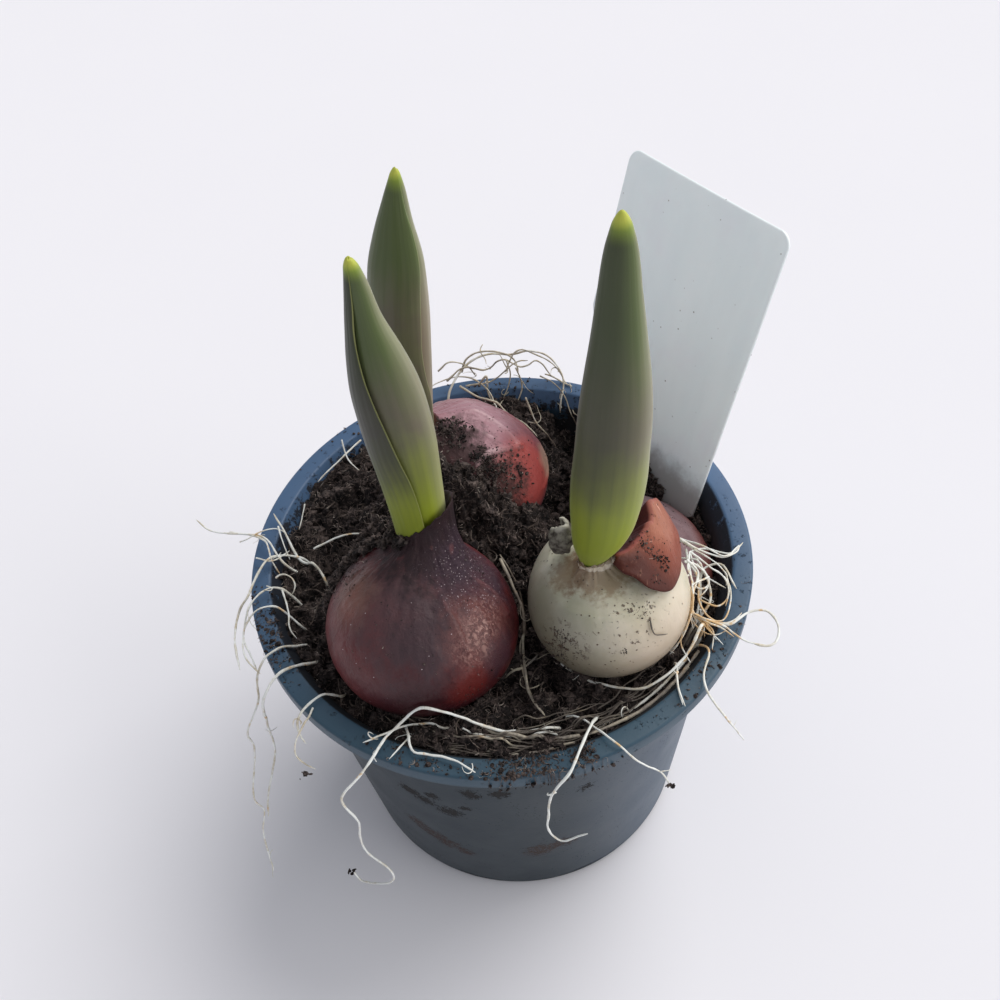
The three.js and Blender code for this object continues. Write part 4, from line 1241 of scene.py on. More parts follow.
@dataclass
class Peat:
    """Heap of fibrous peat, with a fine lumpy top, loose crumbs and curled fibres."""

    pot: GrowersPot
    level: float = 90.0
    underside: float = 2.1
    gap: float = 0.3
    sides: int = 460
    rings: int = 150
    crumbs: int = 5200
    fibres: int = 4500
    twigs: int = 520
    bulbs: tuple = ()
    # Humps and hollows: centre, spread along X and Y, and height.
    mounds: tuple = (
        (-11, 14, 16.5, 9.5, 21), (-40, 18, 14, 22, 3), (-44, -20, 9, 12, 2), (0, 50, 20, 7, 3),
        (-4, -50, 30, 9, 2.5), (3, -13, 5, 8, -10), (16, 20, 6, 8, -11), (24, 37, 9, 9, -8),
        (50, -5, 7, 9, -8), (43, -22, 6, 8, -6), (-39, -6, 5, 6, -4), (45, 13, 9, 7, -6.5),
        (-24, -5, 7, 6, 25), (-32, -9, 6, 6, 15), (-38, -14, 5, 5, 8), (56, -22, 6, 14, 3),
    )
    # Dark clefts beside the bulbs: centre, spread and depth.
    clefts: tuple = (
        (-43, -16, 3.5, 6), (-44.5, -6, 3.5, 4), (8.5, -1, 5, 5), (16, 11, 5, 6), (20, 44, 6, 7),
        (19, 52, 4, 4), (45, -28, 4, 5), (29, -41, 4, 3), (14, 22, 4, 5), (3, -22, 3.5, 5), (9, -34, 4, 3),
        (-42, 7, 4, 3),
    )
    grain: Grain = field(default_factory=lambda: Grain(Seed.GROUND))

    def smooth_height(self, x: Array, y: Array) -> Array:
        """Height of the peat without its fine lumps.

        The level, plus a bell curve for each mound, plus slow sine waves, two crossed and one slanting.

        Args:
            x: Places along X.
            y: Places along Y.

        Returns:
            Height at each place.
        """
        height = np.full(np.broadcast(x, y).shape, self.level)
        for middle_x, middle_y, spread_x, spread_y, rise in self.mounds:
            away = ((x - middle_x) / spread_x) ** 2 + ((y - middle_y) / spread_y) ** 2
            height = height + rise * np.exp(-away)
        lumps = np.sin(0.55 * x + 1.3) * np.sin(0.5 * y - 0.4) + 0.7 * np.sin(0.9 * x - 0.7 * y)
        return height + 0.8 * lumps

    def height(self, x: Array, y: Array) -> Array:
        """Height of the peat with its lumps and clefts.

        Noise whose lumps are 6, 3.6 and 1.6 mm wide on the smooth height, less a bell curve for each cleft.

        Args:
            x: Places along X.
            y: Places along Y.

        Returns:
            Height at each place.
        """
        at = np.stack([x, y, 0 * x], axis=-1)
        lumps = 1.9 * self.grain(at, 6.0) + 1.9 * (1 - 2.4 * np.abs(self.grain(at + 9, 3.6)))
        lumps = lumps + 1.3 * (1 - 2.4 * np.abs(self.grain(at + 50, 1.6, 2))) - 0.5
        edge = smooth(0, 4, self.pot.inner(self.smooth_height(x, y)) - np.hypot(x, y))
        lumps = (lumps - 0.7) * (0.4 + 0.6 * edge)
        for middle_x, middle_y, spread, depth in self.clefts:
            away = ((x - middle_x) ** 2 + (y - middle_y) ** 2) / spread**2
            lumps = lumps - depth * np.exp(-away) * (0.8 + 0.4 * self.grain(at + 80, 2.0))
        return self.smooth_height(x, y) + lumps

    def build(self) -> list[bpy.types.Object]:
        """Build the ground, its crumbs and its fibres.

        Returns:
            The pieces.
        """
        coarse = self._hair("peat_fibres", Seed.FIBRES, (0.05, 0.13))
        fine = self._hair("peat_fibres_fine", Seed.FINE_FIBRES, (0.04, 0.09))
        return [self._ground(), self._loose(), coarse, fine, self._twigs()]

    def _ground(self) -> bpy.types.Object:
        """Body of peat: rings from its underside up the wall, then inwards over the lumpy top."""
        angle = circle(self.sides)
        ways = np.stack([np.cos(angle), np.sin(angle)], axis=-1)
        edge = np.full(self.sides, self.pot.inner(np.array(self.level)) - self.gap)
        for _ in range(4):
            edge = self.pot.inner(self.smooth_height(edge * ways[:, 0], edge * ways[:, 1])) - self.gap
        rings = []
        for z in (self.underside, 30.0, 60.0, 78.0):
            rings.append(turned(float(self.pot.inner(np.array(z))) - self.gap, angle, z))
        for k in range(self.rings):
            flat = ways * (edge * (1 - k / self.rings) ** 0.85)[:, None]
            z = self.height(flat[:, 0], flat[:, 1])
            rings.append(np.concatenate([flat, z[:, None]], axis=-1))
        middle = np.array([0, 0, float(self.height(np.zeros(1), np.zeros(1))[0])])
        shell = closed_skin(np.stack(rings), np.array([0, 0, self.underside]), middle)
        piece = make_piece("peat_ground", shell, PeatEarth().material())
        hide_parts("soil")
        return piece

    def scatter(self, count: int, seed: int, reach: float = 53.5) -> Array:
        """Random places on the peat's top, none of them inside a bulb.

        Args:
            count: How many.
            seed: Seed of the random draw.
            reach: Radius of the area.

        Returns:
            Points on the top.
        """
        draw = np.random.default_rng(seed)
        # Three times as many as are wanted, because some fall inside a bulb.
        drawn = count * 3
        radius = reach * np.sqrt(draw.uniform(size=drawn))
        angle = draw.uniform(0, 2 * np.pi, drawn)
        x, y = radius * np.cos(angle), radius * np.sin(angle)
        places = np.stack([x, y, self.height(x, y)], axis=-1)
        open_ground = np.ones(len(places), dtype=bool)
        for bulb in self.bulbs:
            open_ground &= bulb.room(places) > 0.2
        return places[open_ground][:count]

    def _loose(self) -> bpy.types.Object:
        """Loose crumbs, most of them small, half sunk in the top."""
        draw = np.random.default_rng(Seed.CRUMB_SIZES)
        places = self.scatter(self.crumbs, Seed.CRUMB_PLACES)
        smallest, largest = 0.22, 1.22
        sizes = smallest + (largest - smallest) * draw.uniform(size=len(places)) ** 4
        places[:, 2] += sizes * 0.25
        material = PeatEarth().material("peat_crumb", 0.05)
        piece = make_piece("peat_crumbs", crumb_heap(places, sizes, Seed.CRUMB_SHAPES), material, False)
        return piece

    def _hair(self, name: str, seed: int, thickness: tuple[float, float]) -> bpy.types.Object:
        """Curled fibres that lie on the top, each a thread along a bent arc.

        Args:
            name: The piece's name.
            seed: Seed of the random draw.
            thickness: Thinnest and thickest radius.

        Returns:
            The piece.
        """
        lengths, steps, lift = (1.2, 5.5), 7, 0.7
        places = self.scatter(self.fibres, seed)
        paths, radii = curled_fibres(places, seed + 1, lengths, thickness, steps, lift)
        piece = make_piece(name, thread_bundle(paths, radii, 3), PeatFibre(name=name).material())
        return piece

    def _twigs(self) -> bpy.types.Object:
        """Longer, thicker bits of dead root and stem, grey-brown, half sunk in the top."""
        lengths, thickness, steps, lift = (3.0, 9.0), (0.08, 0.26), 14, 0.25
        places = self.scatter(self.twigs, Seed.TWIG_PLACES)
        paths, radii = curled_fibres(places, Seed.TWIG_SHAPES, lengths, thickness, steps, lift)
        finish = PeatFibre(tone(54, 45, 41), tone(104, 92, 84), tone(160, 150, 140), "peat_twig")
        piece = make_piece("peat_twigs", thread_bundle(paths, radii, 5), finish.material())
        return piece


def curled_fibres(
    roots: Array, seed: int, lengths: tuple[float, float], thickness: tuple[float, float], steps: int,
    lift: float = 0.5,
) -> tuple[Array, Array]:
    """Curled fibres from given points.

    A fibre's way turns steadily from its first direction: way(t) = a cos(bend t) + b sin(bend t), with a
    and b square to each other, and its path is the running sum of the ways.

    Args:
        roots: Points that the fibres lie at.
        seed: Seed of the random draw.
        lengths: Shortest and longest fibre.
        thickness: Thinnest and thickest radius.
        steps: Points along a fibre.
        lift: How far the first directions point upwards.

    Returns:
        Paths as (fibre, step, xyz) and radii as (fibre, step).
    """
    draw = np.random.default_rng(seed)
    count = len(roots)
    first = draw.normal(size=(count, 3))
    first[:, 2] = first[:, 2] * 0.35 + lift * draw.uniform(-0.4, 1.0, count)
    first = unit(first)
    second = unit(np.cross(first, draw.normal(size=(count, 3))))
    bend = draw.uniform(0.3, 4.6, (count, 1)) * draw.choice([-1, 1], (count, 1))
    t = np.linspace(0, 1, steps)[None, :]
    wave = 0.5 * np.sin(draw.uniform(3, 9, (count, 1)) * t + draw.uniform(0, 6, (count, 1)))
    turn = bend * t + wave
    ways = first[:, None] * np.cos(turn)[..., None] + second[:, None] * np.sin(turn)[..., None]
    length = lengths[0] + (lengths[1] - lengths[0]) * draw.uniform(size=(count, 1, 1)) ** 1.6
    run = np.cumsum(ways, axis=1) * length / steps
    paths = roots[:, None] + run - run[:, steps // 3][:, None]
    base = thickness[0] + (thickness[1] - thickness[0]) * draw.uniform(size=(count, 1)) ** 2
    return paths, base * (1 - 0.6 * t**3)


# Bulbs


def crease_height(points: Array, creases: tuple) -> Array:
    """Height of the creases: each gives height exp(-(d / width)^2), d the distance from its line.

    Args:
        points: Points of the skin.
        creases: For each one its line of points, its height and its width.

    Returns:
        One height for each point.
    """
    total = np.zeros(points.shape[:-1])
    for line, height, width in creases:
        path = np.array(line, dtype=float)
        start, way = path[:-1], np.diff(path, axis=0)
        offset = points[..., None, :] - start
        share = np.clip((offset * way).sum(-1) / (way * way).sum(-1), 0, 1)
        gap = np.linalg.norm(offset - share[..., None] * way, axis=-1)
        total = total + height * np.exp(-((gap / width) ** 2)).max(axis=-1)
    return total


def store_creases(piece: bpy.types.Object, points: Array, creases: tuple) -> None:
    """Keep the height of the creases on a piece's mesh, for its finish.

    Args:
        piece: The piece.
        points: Its points in millimetres.
        creases: The creases.
    """
    crease = piece.data.attributes.new("crease", "FLOAT", "POINT")
    crease.data.foreach_set("value", crease_height(points, creases).astype(np.float32))


@dataclass
class TulipBulb:
    """One bulb: a round body that runs up to a neck, with soft folds that run from neck to root plate."""

    name: str
    centre: Point
    radius: float
    neck: Point
    neck_radius: float
    depth: float
    shoulder: float
    flat: float
    flat_angle: float
    folds: float
    wrinkles: float
    ragged: float
    seed: int
    collar: tuple[float, float, float] = (0.0, 0.0, 0.0)
    pinch: float = 0.0
    creases: tuple = ()
    sides: int = 220
    lower: int = 50
    upper: int = 110

    @property
    def reach(self) -> float:
        """Distance from the middle of the widest ring to the neck's end."""
        return float(np.linalg.norm(np.array(self.neck) - np.array(self.centre)))

    @property
    def axis(self) -> Array:
        """Way from the middle of the widest ring to the neck's end."""
        return unit(np.array(self.neck) - np.array(self.centre))

    def turn(self) -> Array:
        """Matrix that takes +Z to the bulb's axis by the shortest way (Rodrigues' formula)."""
        axis = self.axis
        across = np.cross([0.0, 0.0, 1.0], axis)
        k = np.array([[0, -across[2], across[1]], [across[2], 0, -across[0]], [-across[1], across[0], 0]])
        return np.eye(3) + k + k @ k / (1 + axis[2])

    def outline(self, s: Array) -> tuple[Array, Array]:
        """Radius and height of the plain outline.

        Below the widest ring a squashed circle, above it neck + (radius - neck) cos(pi s / 2)^shoulder.

        Args:
            s: Place from -1 at the root plate over 0 at the widest ring to 1 at the neck's end.

        Returns:
            Radius and height at each place.
        """
        low = self.radius * np.sqrt(np.clip(1 - s * s, 0, 1))
        fall = np.cos(np.pi / 2 * np.clip(s, 0, 1)) ** self.shoulder
        high = self.neck_radius + (self.radius - self.neck_radius) * fall
        return np.where(s <= 0, low, high), np.where(s <= 0, s * self.radius * self.depth, s * self.reach)

    def beside(self, places: Array) -> tuple[Array, Array, Array]:
        """Places as seen from the bulb's axis.

        Args:
            places: Points in the pot's frame.

        Returns:
            The place along the axis, from -1 to 1 on the bulb, the distance from the axis, and the part
            of each point's offset that is square to the axis.
        """
        offset = places - np.array(self.centre)
        height = offset @ self.axis
        s = height / np.where(height < 0, self.radius * self.depth, self.reach)
        sideways = offset - height[..., None] * self.axis
        return s, np.linalg.norm(sideways, axis=-1), sideways

    def rings(self, pot: GrowersPot, spear: Optional["LeafSpear"] = None) -> Array:
        """Rings of the bulb in the pot's frame.

        The outline times a swell for its flat side and ridges, plus folds (waves round the bulb that
        grow towards the neck) and noise along the surface, kept off the pot's wall. Where a spear
        stands in the neck, the last rings close round the spear's own section.

        Args:
            pot: The pot that the bulb presses against.
            spear: The spear that stands in its neck.

        Returns:
            Points as (ring, place round, xyz).
        """
        low = -np.cos(np.pi / 2 * np.arange(1, self.lower + 1) / self.lower)
        high = np.arange(1, self.upper + 1) / self.upper
        s = np.concatenate([low, high])[:, None]
        a = circle(self.sides)[None, :]
        radius, height = self.outline(s)
        towards = np.maximum(0, np.cos(a - math.radians(self.flat_angle)))
        swell = 1 - self.flat * towards**2 + 0.012 * np.cos(3 * a + 1) - 0.01 * np.cos(2 * a)
        grain = Grain(self.seed)
        flow = turned(9.0, a, s * 7)
        folds = np.abs(grain(flow, 3.2, 2)) - 0.35
        fine = grain(flow * [1, 1, 0.5] + 40, 0.9, 2)
        near_neck = smooth(0.25, 0.95, s)
        relief = self.folds * folds * (0.25 + near_neck)
        relief = relief - self.wrinkles * np.abs(fine) * (0.3 + 1.2 * near_neck)
        ragged = self.ragged * (grain(flow * [1, 1, 0] + 70, 2.4, 2)) * smooth(0.8, 1.0, s)
        reach = radius * swell * (1 - self.pinch * smooth(0.5, 0.85, s)) + relief * smooth(-1.0, -0.7, s)
        points = turned(reach, a, height) @ self.turn().T + np.array(self.centre)
        if spear is not None:
            points = self._hug(points, s, spear, relief)
        points[..., 2] += ragged
        outward = unit(points - np.array(self.centre))
        points = points + outward * crease_height(points, self.creases)[..., None]
        points = np.concatenate([points, self._lip(points[-1])])
        flat = np.hypot(points[..., 0], points[..., 1])
        press = np.minimum((pot.inner(points[..., 2]) - 0.6) / np.maximum(flat, 1e-6), 1)
        points[..., :2] *= press[..., None]
        return points

    def room(self, places: Array) -> Array:
        """How far places lie outside the plain outline, negative inside.

        Args:
            places: Points in the pot's frame.

        Returns:
            The distance from the outline, measured square to the bulb's axis.
        """
        s, distance, _ = self.beside(places)
        return np.where(np.abs(s) < 1, distance - self.outline(s)[0], 99.0)

    def _hug(self, points: Array, s: Array, spear: "LeafSpear", relief: Array) -> Array:
        """Last rings drawn up to the collar's height and in to the spear's section.

        A point's share of the way to its target grows by a soft step from 0 at s = 0.7 to 1 at 0.97. Its
        target is the spear's outline at its height, a quarter millimetre off, with the folds on it.

        Args:
            points: Rings of the bulb.
            s: Place of each ring.
            spear: The spear in the neck.
            relief: Folds of the surface.

        Returns:
            The rings, closed round the spear.
        """
        level, lean_x, lean_y = self.collar
        middle, _ = spear.section(points[..., 2])
        away = points[..., :2] - middle[..., :2]
        angle = np.arctan2(away[..., 0], -away[..., 1] / spear.depth)
        rim = level + lean_x * np.sin(angle) - lean_y * np.cos(angle)
        rise = smooth(0.72, 1.0, s) * (rim - points[-1:, :, 2])
        points = points + np.stack([0 * rise, 0 * rise, rise], axis=-1)
        middle, width = spear.section(points[..., 2])
        width = width + 0.25 + 0.8 * np.maximum(relief, 0) * (1 - smooth(0.9, 1.0, s))
        ways = np.stack([np.sin(angle), -spear.depth * np.cos(angle)], axis=-1)
        target = middle[..., :2] + ways * width[..., None]
        share = smooth(0.7, 0.97, s)[..., None]
        flat = points[..., :2] * (1 - share) + target * share
        return np.concatenate([flat, points[..., 2:]], axis=-1)

    def _lip(self, edge: Array) -> Array:
        """Inside of the neck: rings that roll over the edge and run down inside it."""
        shares = np.array([0.97, 0.93, 0.86, 0.6, 0.3])[:, None, None]
        drops = np.array([0.05, -0.4, -2.0, -3.5, -4.0])[:, None]
        middle = edge.mean(axis=0)
        rings = middle + (edge[None] - middle) * shares
        rings[..., 2] = edge[None, :, 2] + drops
        return rings

    def build(
        self, pot: GrowersPot, material: bpy.types.Material, slot: str, spear: Optional["LeafSpear"],
    ) -> bpy.types.Object:
        """Build the bulb.

        Args:
            pot: The pot that the bulb presses against.
            material: Its material.
            slot: Name of a material slot; not used.
            spear: The spear that stands in its neck.

        Returns:
            The bulb.
        """
        rings = self.rings(pot, spear)
        bottom = np.array([0, 0, -self.radius * self.depth]) @ self.turn().T + np.array(self.centre)
        shell = closed_skin(rings, bottom, rings[-1].mean(axis=0))
        piece = make_piece(f"tulip_{self.name}", shell, material)
        store_creases(piece, shell.points, self.creases)
        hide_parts(self.name)
        return piece


@dataclass
class TunicFlap:
    """Torn flap of dry tunic on the cream bulb: a curved sheet whose upper edge curls over."""

    centre: Point = (22.6, -23.4, 103.7)
    thickness: float = 0.6
    bulge: float = 0.35
    lower: tuple = (
        (22.8, -28.3, 121.5), (24.4, -30.6, 121), (26.6, -31.8, 120.5), (29, -33.4, 119),
        (31.1, -33.3, 117.2), (33, -33, 116), (34.7, -31.8, 115), (36.2, -29.4, 114), (37.8, -25.7, 112.3),
        (38.9, -21.4, 110.7), (39.5, -17.5, 109.5),
    )
    upper: tuple = (
        (23.5, -27.6, 122.4), (26.4, -26.3, 122.4), (28.6, -24.4, 122.3), (30.4, -22.2, 122.3),
        (31.6, -20.5, 122.5), (32.4, -18.8, 122.3), (32.9, -16.9, 122.4), (33, -15, 122.9),
        (33.4, -13.2, 122.5), (35.6, -12.2, 119.4), (38.8, -14.2, 112.6),
    )
    # A light fold down its right side and a short one below the rim.
    creases: tuple = (
        (((34.5, -14.1, 121.4), (35.4, -14.9, 120.2), (35.5, -16.6, 120.2), (35.2, -18.5, 120.6),
          (34.5, -20.5, 121.2)), 0.45, 0.34),
        (((32.3, -23.8, 121.7), (30.7, -24.3, 121.9)), 0.4, 0.25),
    )
    # The spear's axis, towards which the lining inside the flap runs.
    hollow: tuple[float, float] = (21.2, -21.5)
    across: int = 120
    rows: int = 64
    fold: float = 0.7

    def build(self) -> bpy.types.Object:
        """Build the flap.

        Up to v = fold a point lies between the lower and the upper edge, pushed outwards by
        bulge sin(pi v / fold) and by noise; beyond it, the sheet rolls over and runs down inside as a
        lining, 7 w inwards and 2 w + 5 w^2 down, w growing from 0 to 1. It thins out to its edges.

        Returns:
            The flap.
        """
        u = np.linspace(0, 1, self.across)[None, :]
        v = np.linspace(0, 1, self.rows)[:, None]
        low, high = along(self.lower, u), along(self.upper, u)
        rise = np.clip(v / self.fold, 0, 1)
        inner = np.clip((v - self.fold) / (1 - self.fold), 0, 1)
        flat = low + (high - low) * rise[..., None]
        outward = unit(flat - np.array(self.centre))
        grain = Grain(Seed.FLAP)
        crumple = 0.28 * grain(flat, 7.0) + 0.08 * grain(flat + 30, 2.0, 2)
        ragged = 0.5 * grain(np.stack([u * 30, 0 * u, 0 * u], -1), 3.0, 2)[..., None] * (high - low) / 12
        push = self.bulge * np.sin(np.pi * rise) + crumple * smooth(0, 0.25, v)
        sheet = flat + outward * push[..., None] + ragged * smooth(0.8, 1.0, rise)[..., None]
        inwards = unit(np.array([*self.hollow, 0.0]) - high * [1, 1, 0])
        down = 2.0 * inner + 5.0 * inner**2
        sheet = sheet + inwards * (7.0 * inner)[..., None] - np.array([0, 0, 1.0]) * down[..., None]
        sheet = sheet + outward * crease_height(sheet, self.creases)[..., None]
        shell = thickened(sheet, u, v, self.thickness / 2, (0.03, 0.05, 0.02))
        piece = make_piece("tunic_flap", shell, TerracottaTunic().material())
        store_creases(piece, shell.points, self.creases)
        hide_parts("bulb_2_tunic")
        return piece


@dataclass
class DriedHusk:
    """Small grey scrap of tunic, rolled up like a shaving beside the cream bulb's spear."""

    middle: Point = (13.0, -20.0, 121.0)
    size: Point = (2.7, 2.4, 5.2)
    thickness: float = 0.6

    def build(self) -> bpy.types.Object:
        """Build the husk: a sheet rolled through most of a turn, its radius waved by noise.

        Returns:
            The husk.
        """
        u = np.linspace(0, 1, 70)[None, :]
        v = np.linspace(0, 1, 34)[:, None]
        angle = -2.2 + 4.9 * u + 0.4 * v
        spread = np.sin(np.pi * (0.12 + 0.76 * v)) * (0.8 + 0.35 * u)
        grain = Grain(Seed.HUSK)
        base = np.stack([np.sin(angle) * spread, -np.cos(angle) * spread, (v - 0.45) * 1.7 + 0 * u], axis=-1)
        wave = 1 + 0.22 * grain(base * 4, 1.6, 2)[..., None]
        points = base * wave * np.array(self.size) + np.array(self.middle)
        shell = thickened(points, u, v, self.thickness / 2, (0.05, 0.08, 0.03))
        piece = make_piece("dried_husk", shell, HuskScrap().material())
        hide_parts("bulb_2_husk")
        return piece


# Stray earth


@dataclass
class StrayEarth:
    """Crumbs and short fibres of earth that have fallen on the rim, the wall, the bulbs and the flap."""

    pot: GrowersPot
    # On the rim and wall: from and to angle in degrees, from and to radius, height, and number.
    rim_falls: tuple = (
        (-101, -79, 54.6, 60.1, 95, 440), (-80, -74, 55, 60.5, 95, 160), (183, 212, 54.8, 59.8, 95, 260),
        (-60, -20, 55, 59.8, 95, 90), (20, 160, 54.9, 59.8, 95, 80), (-125, -97, 55, 59.8, 95, 90),
        (-100, -70, 60.15, 60.3, 92.8, 70),
    )
    # On a piece: its name, then the middle and reach, largest crumb, number and depth of each fall.
    falls: tuple = (
        ("bulb_1", (
            ((-32, -18, 114), 7.5, 0.2, 200, 0), ((-18, -34, 113), 17, 0.14, 130, 0),
            ((-10, -40, 100), 8, 0.2, 90, 0), ((-4, -20, 118), 6, 0.16, 90, 0),
            ((-21.5, -16.5, 124), 3.5, 0.5, 150, 1.2), ((-24.5, -12.8, 120), 3.6, 0.6, 230, 1.8),
            ((-28, -10.8, 115.5), 4, 0.6, 260, 2), ((-32, -11, 111.5), 4, 0.6, 240, 2),
            ((-35.5, -14, 108), 4.5, 0.6, 200, 1.8), ((-38.5, -17, 103), 4.5, 0.5, 140, 1.4),
        )),
        ("bulb_2", (
            ((11.5, -36.5, 107.8), 3.2, 0.14, 90, 0), ((10.3, -36.6, 102.3), 3.4, 0.14, 110, 0),
            ((27.3, -35.5, 114.3), 4, 0.13, 70, 0), ((23.5, -40.5, 107.6), 1.4, 0.18, 20, 0),
            ((22, -34, 112), 15, 0.09, 90, 0), ((12, -30, 96), 8, 0.3, 120, 0.4),
        )),
        ("bulb_3", (
            ((-7.3, 22.1, 114.1), 5.5, 0.4, 330, 0.8), ((-1, 15.5, 107), 6, 0.4, 420, 1),
            ((6, 17, 102), 7, 0.35, 160, 0.3), ((6, 22, 106), 10, 0.18, 120, 0),
        )),
        ("bulb_4", (((42, 4, 92), 12, 0.2, 120, 0),)),
        ("flap", (
            ((29.4, -24.3, 121.9), 2.8, 0.26, 80, 0.2), ((32.3, -27, 120.3), 2.4, 0.14, 40, 0.1),
            ((34.1, -27.3, 119.2), 2.2, 0.24, 46, 0.2), ((31.7, -30.4, 119.3), 2.2, 0.12, 26, 0.1),
            ((32, -24, 120), 8, 0.14, 60, 0),
        )),
    )
    # Clods that hang on the tips of three roots.
    clods: tuple = ((-44.2, -55, 45), (30.2, -60.7, 84.2), (-47.2, -49.2, 86.2))

    def build(self, carriers: dict[str, bpy.types.Object]) -> list[bpy.types.Object]:
        """Build the crumbs and the fibres.

        Args:
            carriers: The finished pieces that earth has fallen on, by name.

        Returns:
            The pieces.
        """
        draw = np.random.default_rng(Seed.STRAY_PLACES)
        places, sizes, hairy = [], [], []
        for start, end, near, far, height, count in self.rim_falls:
            angle = np.radians(draw.normal((start + end) / 2, (end - start) / 4.5, count))
            radius = draw.uniform(near, far, count)
            level = height + draw.uniform(-2.5, 0.0, count) * (near > self.pot.rim_radius)
            places.append(turned(radius, angle, level))
            sizes.append(0.09 + 0.42 * draw.uniform(size=count) ** 3.5)
            hairy.append(places[-1][::2])
        for name, falls in self.falls:
            mesh = carriers[name].data
            points, normals = np.empty((2, len(mesh.vertices) * 3), dtype=np.float32)
            mesh.vertices.foreach_get("co", points)
            mesh.vertex_normals.foreach_get("vector", normals)
            points, normals = points.reshape(-1, 3) / MM, normals.reshape(-1, 3)
            for middle, reach, largest, count, depth in falls:
                away = np.linalg.norm(points - np.array(middle), axis=1)
                share = np.exp(-((away / reach * 1.6) ** 2)) * (away < reach)
                chosen = draw.choice(len(points), count, p=share / share.sum())
                lift = normals[chosen] * draw.uniform(0, max(depth, 0.01), (count, 1))
                places.append(points[chosen] + lift + draw.normal(0, 0.05, (count, 3)))
                sizes.append((0.05 if depth == 0 else 0.12) + largest * draw.uniform(size=count) ** 3)
                hairy.append(places[-1][::3 if depth > 0.5 else 9])
        for clod in self.clods:
            places.append(np.array(clod) + draw.normal(0, 0.45, (9, 3)))
            sizes.append(draw.uniform(0.2, 0.55, 9))
        places, sizes = np.concatenate(places), np.concatenate(sizes)
        material = PeatEarth().material("stray_crumb", 0.05)
        crumbs = make_piece("stray_crumbs", crumb_heap(places, sizes, Seed.STRAY_SHAPES), material, False)
        lengths, thickness, steps, lift = (0.6, 3.0), (0.03, 0.09), 7, 0.4
        starts = np.concatenate(hairy)
        paths, radii = curled_fibres(starts, Seed.STRAY_FIBRES, lengths, thickness, steps, lift)
        away = np.hypot(paths[..., 0], paths[..., 1])
        on_rim = (away < self.pot.rim_radius + 0.3) & (away > self.pot.rim_inner + 0.2)
        paths[..., 2] = np.where(on_rim, np.maximum(paths[..., 2], self.pot.height + 0.08), paths[..., 2])
        material = PeatFibre(name="stray_fibre").material()
        fibres = make_piece("stray_fibres", thread_bundle(paths, radii, 3), material)
        return [crumbs, fibres]


# Leaf spears


